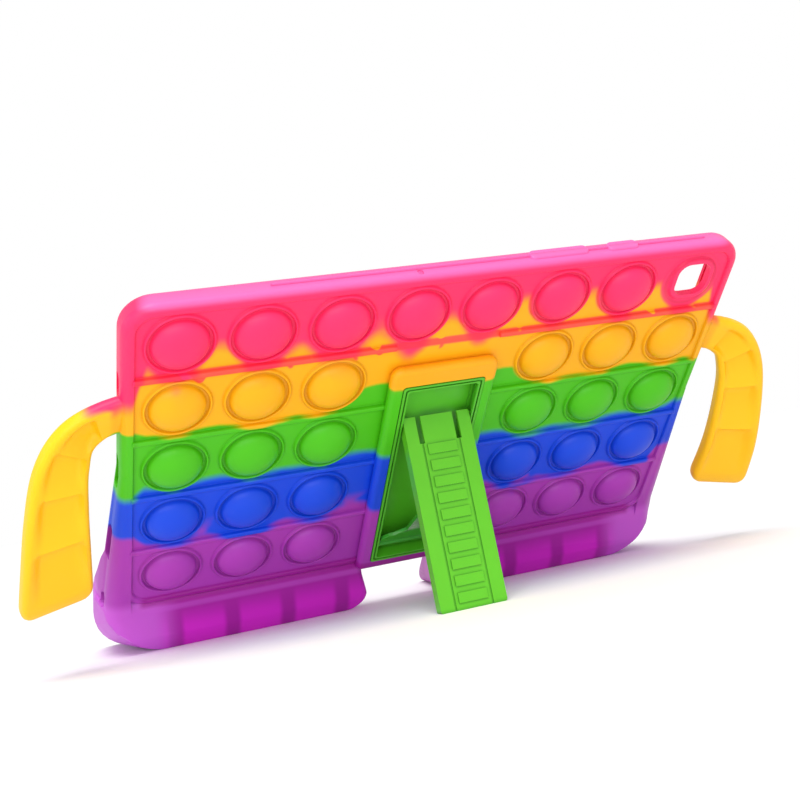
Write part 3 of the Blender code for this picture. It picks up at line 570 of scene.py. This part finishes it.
def makeGusset(side, word):
    # the web that joins the side wall to the foot's toe
    rim, front = shell["depth"] - 0.0014, feet["front"]
    points = [(0.0002, gusset["top"]), (rim, gusset["top"]), (rim, 0.0300), (rim + 0.0055, 0.0140),
              (front - 0.0120, 0.0020), (front - 0.0062, -0.0080), (front - 0.0070, -0.0180),
              (-0.0076, -0.0180), (-0.0068, -0.0120), (-0.0020, -0.0045), (0.0002, 0.0050)]
    outer = halfWidth - gusset["inset"]
    low, high = sorted((side * (outer - gusset["depth"]), side * outer))
    web = addObject(word + "Gusset", sideMesh(points, low, high))
    # only its back edge is rounded, as the shell's is, so the side runs on into the foot
    weights = web.data.attributes.new("bevel_weight_edge", "FLOAT", "EDGE").data
    for edge in web.data.edges:
        ends = [web.data.vertices[index].co for index in edge.vertices]
        if all(abs(abs(end.x) - outer) < 1e-5 for end in ends):
            weights[edge.index].value = 1.0 if max(end.y for end in ends) < tiny else 0.3
    addBevel(web, shell["edgeRound"], 6 if fine else 3).limit_method = "WEIGHT"
    limit = addObject(word + "GussetLimit", footLimit(side, 0))
    addBoolean(web, "INTERSECT", limit)
    flarePart(web, outer - gusset["wall"], outer, flareCuts)
    removeObjects([limit])
    return web


def makeToeGrooves():
    radius = toes["radius"]
    depth = -feet["back"] - radius + toes["groove"]
    length = toes["grooveLength"]
    profile = [(0.0, 0.0), (radius * 0.7, 0.0006), (radius, 0.0030), (radius, length), (0, length)]
    grooves = []
    for side in (-1, 1):
        for index in range(toes["count"]):
            bar = turnedMesh(profile, 32 if fine else 16)
            bar.transform(Matrix.Rotation(pi / 2, 4, "X") @ Matrix.Rotation(pi, 4, "X"))
            x = side * (toes["first"] + index * toes["pitch"])
            bar.transform(Matrix.Translation((x, depth, toes["grooveTop"])))
            grooves.append(bar)
    return addObject("toeGrooves", joined(grooves))


# the arm handles

arms = {"round": 0.0024, "rim": 0.0026, "tilt": 9.0, "scoop": 0.0040, "scoops": 4,
        "scoopSteps": 14 if fine else 6, "firstScoop": 0.22, "scoopSpan": 0.72, "basinStart": 0.22,
        "basinFade": 0.30, "basinEnd": 1.12}
# x, z from the top row, rise, half width, direction and thickness along an arm
armStations = ((0.1190, -0.0328, -0.0050, 0.0094, 90, 0.0050), (0.1292, -0.0336, -0.0044, 0.0089, 86, 0.0054),
               (0.1404, -0.0392, -0.0022, 0.0090, 50, 0.0062), (0.1468, -0.0512, 0.0012, 0.0102, 13, 0.0068),
               (0.1496, -0.0690, 0.0054, 0.0117, -1, 0.0070), (0.1511, -0.0910, 0.0092, 0.0132, -5, 0.0070),
               (0.1519, -0.1152, 0.0100, 0.0146, -7, 0.0068))
# how far each section near the tip is drawn in, so that the end is round
armTip = ((0.950, 0.0001), (0.962, 0.0004), (0.974, 0.0010), (0.985, 0.0019), (0.994, 0.0032), (1.0, 0.0048))


def armStation(place):
    last = len(armStations) - 1
    spot = min(place * last, last - 1e-6)
    index = int(spot)
    share = spot - index
    around = [armStations[min(max(index + offset, 0), last)] for offset in (-1, 0, 1, 2)]
    return [0.5 * (2 * b + (c - a) * share + (2 * a - 5 * b + 4 * c - d) * share ** 2
                   + (3 * b - a - 3 * c + d) * share ** 3) for a, b, c, d in zip(*around)]


def armSection(half, depth, scoop):
    # (offset, out) points: a rounded band with a finger basin in its outer face
    bend = min(arms["round"], depth * 0.9)
    points = arc(bend - half, bend - depth, bend, 180, 5) + arc(half - bend, bend - depth, bend, 270, 5)
    points += arc(half - bend, depth - bend, bend, 0, 5)
    outer, inner = half - arms["rim"], -half + bend
    for step in range(1, 18):
        share = step / 18
        basin = clamp(share / arms["basinStart"]) * clamp((arms["basinEnd"] - share) / arms["basinFade"])
        basin *= basin * (3 - 2 * basin)
        points.append((outer + (inner - outer) * share, depth - arms["scoop"] * scoop * basin))
    return points + arc(bend - half, depth - bend, bend, 90, 5)


def makeArm(side, word):
    count = arms["scoops"] * arms["scoopSteps"]
    places = [(0.0, 0, 0), (0.06, 0, 0), (0.12, 0, 0), (0.18, 0, 0)]
    for step in range(count + 1):
        # each scoop falls in steeply from its crest and rises slowly to the next
        part = (step % arms["scoopSteps"]) / arms["scoopSteps"]
        depth = 1.3 * (1 - part) * (1 - exp(-8 * part))
        places.append((arms["firstScoop"] + arms["scoopSpan"] * step / count, depth, 0))
    places += [(place, 0, narrow) for place, narrow in armTip]
    tilt = radians(arms["tilt"])
    rings = []
    for place, scoop, narrow in places:
        x, z, rise, half, angle, thickness = armStation(place)
        turn = radians(angle)
        sideways = Vector((cos(turn) * cos(tilt), -sin(tilt), sin(turn) * cos(tilt)))
        outward = Vector((-cos(turn) * sin(tilt), -cos(tilt), -sin(turn) * sin(tilt)))
        centre = Vector((x, -rise, topRow + z))
        ring = []
        for offset, out in armSection(half - narrow, thickness / 2 - narrow * 0.4, scoop):
            point = centre + sideways * offset + outward * out
            ring.append((side * point.x, point.y, point.z))
        rings.append(ring)
    return addObject(word + "Arm", loftMesh(rings))


# what is cut out of the silicone

ports = {"width": 0.0042, "places": ((0.1198, 0.0105), (0.0765, 0.0165), (0.0372, 0.0185), (0.0030, 0.0075))}


def makePorts():
    half = ports["width"] / 2
    level = shell["backWall"] + shell["tabletDepth"] / 2
    slots = []
    for up, length in ports["places"]:
        low, high = up - length / 2, up + length / 2
        points = roundRect(level - half, level + half, low, high, (half * 0.95,) * 4, 7)
        slots.append(sideMesh(points, -halfWidth - 0.010, -halfWidth + shell["sideWall"] + tiny))
    return addObject("ports", joined(slots))


def plateCut(name, points, low, high):
    return addObject(name, plateMesh([(points, low), (points, high)]))


def makeCuts():
    back, wall, lip, gap = shell["backWall"], shell["sideWall"], shell["lipReach"], window["gap"]
    level = back + shell["tabletDepth"]
    hole = cameraOutline(camera["size"] / 2, camera["corner"])
    flange = windowOutline(window["flangeReach"] + gap)
    seat = back - window["flangeDepth"] - 2 * gap
    return [plateCut("pocket", shellOutline(wall, shell["tabletCorner"]), back, level),
            plateCut("screenOpening", shellOutline(wall + lip, shell["tabletCorner"] - lip),
                     level - tiny, 0.05),
            plateCut("windowCut", windowOutline(gap), -0.01, back + tiny),
            plateCut("flangeSeat", flange, seat, back + tiny),
            plateCut("cameraHole", hole, -0.01, back + tiny), makePorts(), makeToeGrooves(), makeNotch()]


def makeSilicone(material):
    case = makeShell()
    used = []

    def fuse(operation, other):
        addBoolean(case, operation, other)
        used.append(other)

    sides = ((-1, "left"), (1, "right"))
    tree, inputs = bubbleTree()
    for side, word in sides:
        fuse("UNION", makeGusset(side, word))
        fuse("UNION", makeFoot(side, word))
    for make in (makeWindowBorder, makeRibs, makeCameraRim, makeKeyPads, makeSeam):
        fuse("UNION", make())
    fuse("UNION", makeField("bubbleField", bubbleProfile(), bubbles["sides"], tree, inputs, material))
    for side, word in sides:
        fuse("UNION", makeArm(side, word))
    for cut in makeCuts():
        fuse("DIFFERENCE", cut)
    hollowSides = 24 if fine else 12
    fuse("DIFFERENCE", makeField("hollowField", hollowProfile(), hollowSides, tree, inputs, material))
    for side, word in sides:
        fuse("DIFFERENCE", makeHollow(side, word))
    print("silicone's parts drawn")
    case.modifiers.new("weld", "WELD").merge_threshold = 2 * weldReach
    case.data = bakedMesh(case)
    removeObjects(used)
    # slivers in the flat faces go, so that they shade evenly
    work = bmesh.new()
    work.from_mesh(case.data)
    bmesh.ops.dissolve_limit(work, angle_limit=0.002, verts=work.verts, edges=work.edges)
    work.to_mesh(case.data)
    work.free()
    case.data.transform(leanMatrix)
    finishMesh(case, material, 50)
    return case


# the silicone's colours

def linear(red, green, blue):
    values = [channel / 255 for channel in (red, green, blue)]
    return tuple(v / 12.92 if v <= 0.04045 else ((v + 0.055) / 1.055) ** 2.4 for v in values) + (1.0,)


rainbow = {"pink": linear(250, 44, 100), "yellow": linear(240, 172, 8), "green": linear(72, 186, 14),
           "blue": linear(12, 70, 218), "purple": linear(166, 56, 174), "orange": linear(240, 116, 44),
           # the magenta, plum and band colours on the next line paint the feet's glow and shade
           "magenta": linear(200, 32, 192), "plum": linear(158, 24, 152), "band": linear(150, 10, 138),
           # the pale top colour on the next line is a painted highlight for the case's top edge
           "lilac": linear(190, 84, 200), "arm": linear(250, 190, 14), "topHighlight": linear(255, 128, 206),
           # the crevice colour on the next line is a painted shade, multiplied into the crevices
           "red": linear(246, 44, 70), "creviceShade": (0.50, 0.42, 0.46, 1),
           "roughness": 0.42, "specular": 0.28, "subsurface": 0.03}
# where each colour begins, how it blends and wanders, and how far it shifts at either side and in the middle
bands = [{"colour": "blue", "level": 0.0368, "soft": 0.0020, "rough": 0.0070, "wave": 0.0014,
          "left": 0.0070, "right": 0.0085, "middle": 0.0030},
         {"colour": "green", "level": 0.0675, "soft": 0.0026, "rough": 0.0040, "wave": 0.0008,
          "left": -0.0030, "right": 0.0040, "middle": 0.0035},
         {"colour": "yellow", "level": 0.0966, "soft": 0.0010, "rough": 0.0032, "wave": 0.0010,
          "left": 0.0028, "right": -0.0012, "middle": 0.0090},
         {"colour": "pink", "level": 0.1275, "soft": 0.0024, "rough": 0.0110, "wave": 0.0085,
          "left": -0.0170, "right": -0.0135, "middle": 0.0}]


class Painter(NodeTools):
    # a material's nodes; x, depth and up are the flat case's own coordinates
    def __init__(self, name):
        self.material = bpy.data.materials.new(name)
        self.material.use_nodes = True
        super().__init__(self.material.node_tree)
        self.shader = self.nodes["Principled BSDF"]
        self.coords = self.add("ShaderNodeTexCoord").outputs["Object"]

    def findPlace(self):
        turn = (radians(lean["angle"]), 0, 0)
        inputs = {"Vector": self.coords, "Location": leanCorner, "Rotation": turn}
        self.flat = self.add("ShaderNodeMapping", inputs, vector_type="TEXTURE").outputs[0]
        self.x, self.depth, self.up = self.add("ShaderNodeSeparateXYZ", {0: self.flat}).outputs
        self.wide = self.math("ABSOLUTE", self.x)

    def findBubbles(self):
        pitchAcross, pitchUp = bubbles["pitchAcross"], bubbles["pitchUp"]
        across = self.minus(self.math("FLOORED_MODULO", self.x, pitchAcross), pitchAcross / 2)
        fromRow = self.math("ADD", self.minus(self.up, topRow), pitchUp / 2)
        self.along = self.minus(self.math("FLOORED_MODULO", fromRow, pitchUp), pitchUp / 2)
        square = self.math("ADD", self.times(across, across), self.times(self.along, self.along))
        self.apart = self.math("SQRT", square)
        beside = self.math("GREATER_THAN", self.wide, pitchAcross)
        above = self.math("GREATER_THAN", self.up, firstRib)
        self.hasBubble = self.times(self.math("MAXIMUM", beside, above),
                                    self.math("LESS_THAN", self.wide, 4 * pitchAcross),
                                    self.math("GREATER_THAN", self.up, firstRib - 4 * pitchUp))

    def setGrain(self, grain, strength, distance):
        inputs = {"Strength": strength, "Distance": distance, "Height": grain}
        self.put(self.add("ShaderNodeBump", inputs).outputs["Normal"], self.shader.inputs["Normal"])


def bandColour(paint):
    wave = paint.math("COSINE", paint.times(paint.x, 2 * pi / bubbles["pitchAcross"]))
    leftSide = paint.ease(paint.x, -0.1150, -0.1215)
    rightSide = paint.ease(paint.x, 0.1150, 0.1215)
    beside = paint.ease(paint.wide, 0.0520, 0.0300)
    onPanel = paint.minus(1.0, paint.math("ADD", leftSide, rightSide))
    calm = paint.math("MULTIPLY_ADD", onPanel, 0.75, 0.25)
    colour = rainbow["purple"]
    for seed, band in enumerate(bands):
        shift = paint.math("MULTIPLY_ADD", leftSide, band["left"], band["level"])
        shift = paint.math("MULTIPLY_ADD", rightSide, band["right"], shift)
        shift = paint.math("MULTIPLY_ADD", beside, band["middle"], shift)
        drift = paint.times(paint.seededNoise(paint.flat, 19.0, 1.5, 3.1 + 5.7 * seed), band["rough"] * 3.0)
        ripple = paint.seededNoise(paint.flat, 75.0, 2.0, 8.3 + 2.9 * seed)
        drift = paint.math("MULTIPLY_ADD", ripple, band["rough"] * 0.7, drift)
        drift = paint.times(paint.math("ADD", drift, paint.times(wave, band["wave"])), calm)
        height = paint.minus(paint.minus(paint.up, shift), drift)
        soft = band["soft"]
        colour = paint.mix(paint.ease(height, -soft, soft), colour, rainbow[band["colour"]])
    # pink and yellow run together in an orange-red line along their border
    near = paint.ease(paint.math("ABSOLUTE", height), soft * 1.9, soft * 0.2, 0.0, 0.45)
    colour = paint.mix(near, colour, rainbow["orange"])

    # purple clouds low in the blue row
    cloud = paint.ease(paint.seededNoise(paint.flat, 48.0, 2.0, 41.0), 0.06, 0.16)
    lowBlue = paint.times(paint.ease(paint.up, 0.0330, 0.0380), paint.ease(paint.up, 0.0490, 0.0410))
    return paint.mix(paint.times(cloud, lowBlue, 0.75), colour, rainbow["purple"])


def bubbleColour(paint, colour):
    # every bubble keeps its own row's colour up to its ring, and the first rib is red
    inRing = paint.ease(paint.apart, bubbles["ringRadius"] + 0.0014, bubbles["ringRadius"] - 0.0004)
    rowColour = rainbow["purple"]
    for row, name in ((3, "blue"), (2, "green"), (1, "yellow"), (0, "pink")):
        edge = firstRib - row * bubbles["pitchUp"]
        rowColour = paint.mix(paint.math("GREATER_THAN", paint.up, edge), rowColour, rainbow[name])
    stain = paint.ease(paint.seededNoise(paint.flat, 70.0, 1.0, 17.0), 0.10, 0.22, 0.92, 0.45)
    colour = paint.mix(paint.times(inRing, paint.hasBubble, stain), colour, rowColour)
    drips = paint.ease(paint.seededNoise(paint.flat, 150.0, 0.0, 23.0), 0.10, 0.30, 0.0, 0.0035)
    fromRib = paint.math("ABSOLUTE", paint.minus(paint.math("ADD", paint.up, drips), firstRib))
    inside = paint.math("LESS_THAN", paint.wide, halfWidth - shell["panelBorder"])
    return paint.mix(paint.times(paint.ease(fromRib, 0.0026, 0.0012), inside, 0.85), colour, rainbow["red"])


def creviceShadeColour(paint, colour):
    # painted shade: crevices are darkened round each dome, under each rib and along the panel's edge, where
    # shade falls
    ring, dome, half = bubbles["ringRadius"], bubbles["domeRadius"], ribs["halfWidth"]
    groove = paint.times(paint.ease(paint.apart, dome - 0.0006, dome + 0.0003),
                         paint.ease(paint.apart, ring - 0.0006, ring - 0.0012))
    outside = paint.times(paint.ease(paint.apart, ring - 0.0002, ring + 0.0002),
                          paint.ease(paint.apart, ring + 0.0014, ring + 0.0003, 0.0, 0.5))
    dark = paint.times(paint.math("ADD", groove, outside), paint.hasBubble)
    fromRib = paint.minus(bubbles["pitchUp"] / 2, paint.math("ABSOLUTE", paint.along))
    under = paint.times(paint.ease(fromRib, half + 0.0016, half + 0.0002),
                        paint.ease(fromRib, half - 0.0003, half),
                        paint.math("MULTIPLY_ADD", paint.math("GREATER_THAN", paint.along, 0.0), 0.6, 0.4))
    edge = halfWidth - shell["panelBorder"]
    inPanel = paint.times(paint.math("LESS_THAN", paint.wide, edge),
                          paint.math("GREATER_THAN", paint.wide, 0.0235))
    between = paint.times(paint.math("LESS_THAN", paint.up, firstRib + 0.01),
                          paint.math("GREATER_THAN", paint.up, 0.0250))
    dark = paint.math("MAXIMUM", dark, paint.times(under, inPanel, between))
    border = paint.times(paint.ease(paint.wide, edge - 0.0022, edge - 0.0003),
                         paint.ease(paint.wide, edge + 0.0006, edge + 0.0001),
                         paint.ease(paint.up, 0.004, 0.006), paint.ease(paint.up, 0.152, 0.150))
    dark = paint.math("MAXIMUM", dark, paint.times(border, 0.6))
    # only on the back, not on the screen side
    dark = paint.times(dark, paint.ease(paint.depth, 0.0024, 0.0014, 0.0, 0.42))
    return paint.mix(dark, colour, rainbow["creviceShade"], "MULTIPLY")


def footColour(paint, colour):
    # painted light on the feet: a plum band of painted shade, then cells between the toe ribs painted
    # brighter as a glow of light through the thin walls, plum where the inner toe walls block it
    step = paint.minus(paint.wide, toes["first"] - toes["pitch"])
    step = paint.math("PINGPONG", step, toes["pitch"] / 2)
    cellGlow = paint.times(paint.ease(step, 0.0018, 0.0046), paint.ease(paint.up, -0.0015, -0.0110),
                       paint.ease(paint.up, -0.0300, -0.0240, 0.3, 1.0))
    foot = paint.mix(cellGlow, rainbow["plum"], rainbow["magenta"])
    # painted highlight: the ridge under the band is painted lighter
    ridgeHighlight = paint.times(paint.ease(paint.up, 0.0002, -0.0010), paint.ease(paint.up, -0.0034, -0.0018))
    foot = paint.mix(paint.times(ridgeHighlight, 0.45), foot, rainbow["lilac"])
    foot = paint.mix(paint.ease(paint.wide, 0.0990, 0.1130), foot, rainbow["lilac"])
    colour = paint.mix(paint.ease(paint.up, 0.0060, 0.0000), colour, foot)
    # painted shade: a dark plum band in the concave step under the bottom row
    stepShade = paint.times(paint.ease(paint.up, 0.0066, 0.0046), paint.ease(paint.up, -0.0006, 0.0014),
                        paint.ease(paint.wide, 0.1180, 0.1150), 0.8)
    return paint.mix(stepShade, colour, rainbow["band"])


def armColour(paint, colour):
    # the arms are yellow, with pink over the left one's root
    wall = paint.math("ADD", paint.ease(paint.up, flare["top"], 0.0, 0.0, flare["reach"]), halfWidth + 0.0016)
    onArm = paint.ease(paint.minus(paint.wide, wall), 0.0, 0.0030)
    onArm = paint.times(onArm, paint.ease(paint.up, 0.0040, 0.0120))
    rootLine = paint.math("MULTIPLY_ADD", paint.minus(paint.wide, halfWidth), 0.12, paint.up)
    rootLine = paint.math("MULTIPLY_ADD", paint.seededNoise(paint.flat, 90.0, 1.0, 5.0), 0.004, rootLine)
    rootPink = paint.times(paint.math("LESS_THAN", paint.x, 0.0), paint.ease(rootLine, 0.1118, 0.1142))
    return paint.mix(onArm, colour, paint.mix(rootPink, rainbow["arm"], rainbow["pink"]))


def siliconeMaterial():
    paint = Painter("rainbowSilicone")
    paint.findPlace()
    paint.findBubbles()
    colour = creviceShadeColour(paint, bubbleColour(paint, bandColour(paint)))
    # the top bar of the kickstand's border runs to orange, and the case's top edge is painted paler, a
    # painted highlight for the sheen of light from above
    onBar = paint.times(paint.ease(paint.wide, 0.0245, 0.0215), paint.ease(paint.up, 0.1035, 0.1085),
                        paint.ease(paint.up, 0.1175, 0.1155), 0.12)
    colour = paint.mix(onBar, colour, rainbow["orange"])
    colour = paint.mix(paint.ease(paint.up, 0.1545, 0.1572, 0.0, 0.55), colour, rainbow["topHighlight"])
    colour = armColour(paint, footColour(paint, colour))
    paint.setAll(paint.shader, {"Base Color": colour, "Roughness": rainbow["roughness"],
                                "Specular IOR Level": rainbow["specular"],
                                "Subsurface Weight": rainbow["subsurface"],
                                "Subsurface Radius": (1.0, 0.6, 0.6), "Subsurface Scale": 0.002})
    paint.setGrain(paint.noise(paint.coords, 1400, 2), 0.06, 0.0002)
    return paint.material


def plasticMaterial(name, colour, roughness):
    paint = Painter(name)
    darker = [c * 0.93 for c in colour[:3]] + [1]
    lighter = [min(c * 1.07, 1) for c in colour[:3]] + [1]
    tint = paint.mix(paint.noise(paint.coords, 60, 2), darker, lighter)
    # painted shade: narrow gaps are darkened by an ambient occlusion node multiplied into the base colour
    gapShade = paint.add("ShaderNodeAmbientOcclusion", {"Distance": 0.0018}, samples=8)
    shade = paint.ease(gapShade.outputs["AO"], 0.35, 1.0, 0.75, 0.0, "LINEAR")
    colour = paint.mix(shade, tint, (0.16, 0.30, 0.16, 1), "MULTIPLY")
    grain = paint.noise(paint.coords, 900, 3)
    gloss = paint.ease(grain, 0.0, 1.0, roughness - 0.04, roughness + 0.04, "LINEAR")
    paint.setAll(paint.shader, {"Base Color": colour, "Roughness": gloss, "Specular IOR Level": 0.35})
    paint.setGrain(grain, 0.04, 0.0001)
    return paint.material


# the kickstand's pieces keep the CAD shapes, with their edges softened

stand = {"stand_frame": {"name": "kickstandFrame", "colour": linear(78, 178, 34), "roughness": 0.34,
                         "edge": 0.00035, "body": "case", "slot": "frame_plastic"},
         "stand_brace": {"name": "kickstandBrace", "colour": linear(62, 160, 50), "roughness": 0.08,
                         "edge": 0.00030, "body": "brace", "slot": "brace_plastic"},
         "stand_leg": {"name": "kickstandLeg", "colour": linear(88, 180, 30), "roughness": 0.36,
                       "edge": 0.00020, "body": "leg", "slot": "leg_plastic"}}


def cutRimGroove(piece):
    # a fine groove round the frame's rim, 1 mm in from its edge
    ring = plateCut("rimGroove", windowOutline(-0.0010), -0.0060, -0.0034)
    core = plateCut("rimCore", windowOutline(-0.0016), -0.0070, -0.0030)
    addBoolean(ring, "DIFFERENCE", core)
    ring.data = bakedMesh(ring)
    ring.data.transform(leanMatrix)
    addBoolean(piece, "DIFFERENCE", ring)
    piece.data = bakedMesh(piece)
    removeObjects([ring, core])


def softCopy(node, name, width):
    work = bmesh.new()
    work.from_mesh(frame["nodes"][node].data)
    bmesh.ops.remove_doubles(work, verts=work.verts, dist=weldReach)
    bmesh.ops.dissolve_limit(work, angle_limit=radians(1), verts=work.verts, edges=work.edges)
    piece = addObject(name, meshOf(work, name))
    if node == "stand_frame":
        cutRimGroove(piece)
    addBevel(piece, width, 2, 32)
    piece.data = bakedMesh(piece)
    return piece


def makeStand():
    for node, given in stand.items():
        name = given["name"]
        piece = softCopy(node, name, given["edge"])
        finishMesh(piece, plasticMaterial(name + "Plastic", given["colour"], given["roughness"]), 40)
        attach(piece, given["body"])
        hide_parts(node)
        print("made", name)


# floor, lights and camera

studio = {"floor": 0.98, "world": 0.52, "sun": 2.1, "sunAngle": 34, "sunWay": (0.22, 0.52, -0.82)}
lamps = {"keyLight": {"power": 1.2, "size": (0.5, 0.4), "place": (-0.75, -0.70, 0.40), "at": (0, 0, 0.06)},
         "lowLight": {"power": 2.4, "size": (0.8, 0.2), "place": (-0.30, -0.85, 0.12), "at": (0, 0, 0.06)},
         "sideLight": {"power": 1.2, "size": (0.3, 0.5), "place": (-1.10, 0.05, 0.35), "at": (-0.1, 0, 0.05)}}
view = {"lens": 57.96, "right": (0.922, -0.3485, -0.1666), "above": (0.139, -0.104, 0.985),
        "place": (-0.1976, leanCorner.y - 0.5407, 0.0609)}


def makeStage():
    mesh = bpy.data.meshes.new("floor")
    mesh.from_pydata([(-4, -4, 0), (4, -4, 0), (4, 4, 0), (-4, 4, 0)], [], [(0, 1, 2, 3)])
    floor = addObject("floor", mesh)
    paint = Painter("paleFloor")
    grey = (studio["floor"],) * 3 + (1,)
    paint.setAll(paint.shader, {"Base Color": grey, "Roughness": 0.9, "Specular IOR Level": 0.1})
    mesh.materials.append(paint.material)


def makeWorld():
    # white where the camera, a reflection or clear material sees it, and plainer as a light
    world = bpy.data.worlds.new("studio")
    bpy.context.scene.world = world
    world.use_nodes = True
    world.node_tree.nodes.clear()
    tool = NodeTools(world.node_tree)
    plain = tool.add("ShaderNodeBackground", {"Color": (1, 1, 1, 1), "Strength": studio["world"]})
    white = tool.add("ShaderNodeBackground", {"Color": (1, 1, 1, 1)})
    path = tool.add("ShaderNodeLightPath").outputs
    seen = tool.math("MAXIMUM", path["Is Camera Ray"], path["Is Glossy Ray"])
    seen = tool.math("MAXIMUM", seen, path["Is Transmission Ray"])
    both = tool.add("ShaderNodeMixShader", {0: seen, 1: plain.outputs[0], 2: white.outputs[0]})
    tool.add("ShaderNodeOutputWorld", {0: both.outputs[0]})


def makeSun():
    light = bpy.data.lights.new("sun", "SUN")
    light.energy = studio["sun"]
    light.angle = radians(studio["sunAngle"])
    lamp = addObject("sun", light)
    lamp.rotation_euler = Vector(studio["sunWay"]).to_track_quat("-Z", "Y").to_euler()


def makeLamps():
    for name, given in lamps.items():
        light = bpy.data.lights.new(name, "AREA")
        light.energy = given["power"]
        light.shape = "RECTANGLE"
        light.size, light.size_y = given["size"]
        lamp = addObject(name, light)
        lamp.location = given["place"]
        way = Vector(given["at"]) - Vector(given["place"])
        lamp.rotation_euler = way.to_track_quat("-Z", "Y").to_euler()


def makeCamera():
    lens = bpy.data.cameras.new("camera")
    lens.lens = view["lens"]
    lens.sensor_width = 36
    lens.clip_start = 0.01
    eye = addObject("camera", lens)
    right, above = Vector(view["right"]).normalized(), Vector(view["above"])
    above = (above - right * above.dot(right)).normalized()
    back = right.cross(above)
    rows = [[right[i], above[i], back[i], view["place"][i]] for i in range(3)]
    eye.matrix_world = Matrix(rows + [[0, 0, 0, 1]])
    bpy.context.scene.camera = eye


silicone = siliconeMaterial()
case = makeSilicone(silicone)
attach(case, "case")
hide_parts("silicone_case")
print("silicone case made,", len(case.data.polygons), "faces")
makeStand()
makeStage()
makeWorld()
makeSun()
makeLamps()
makeCamera()
bpy.context.scene.view_settings.view_transform = "Standard"
print("stage, lights and camera set")
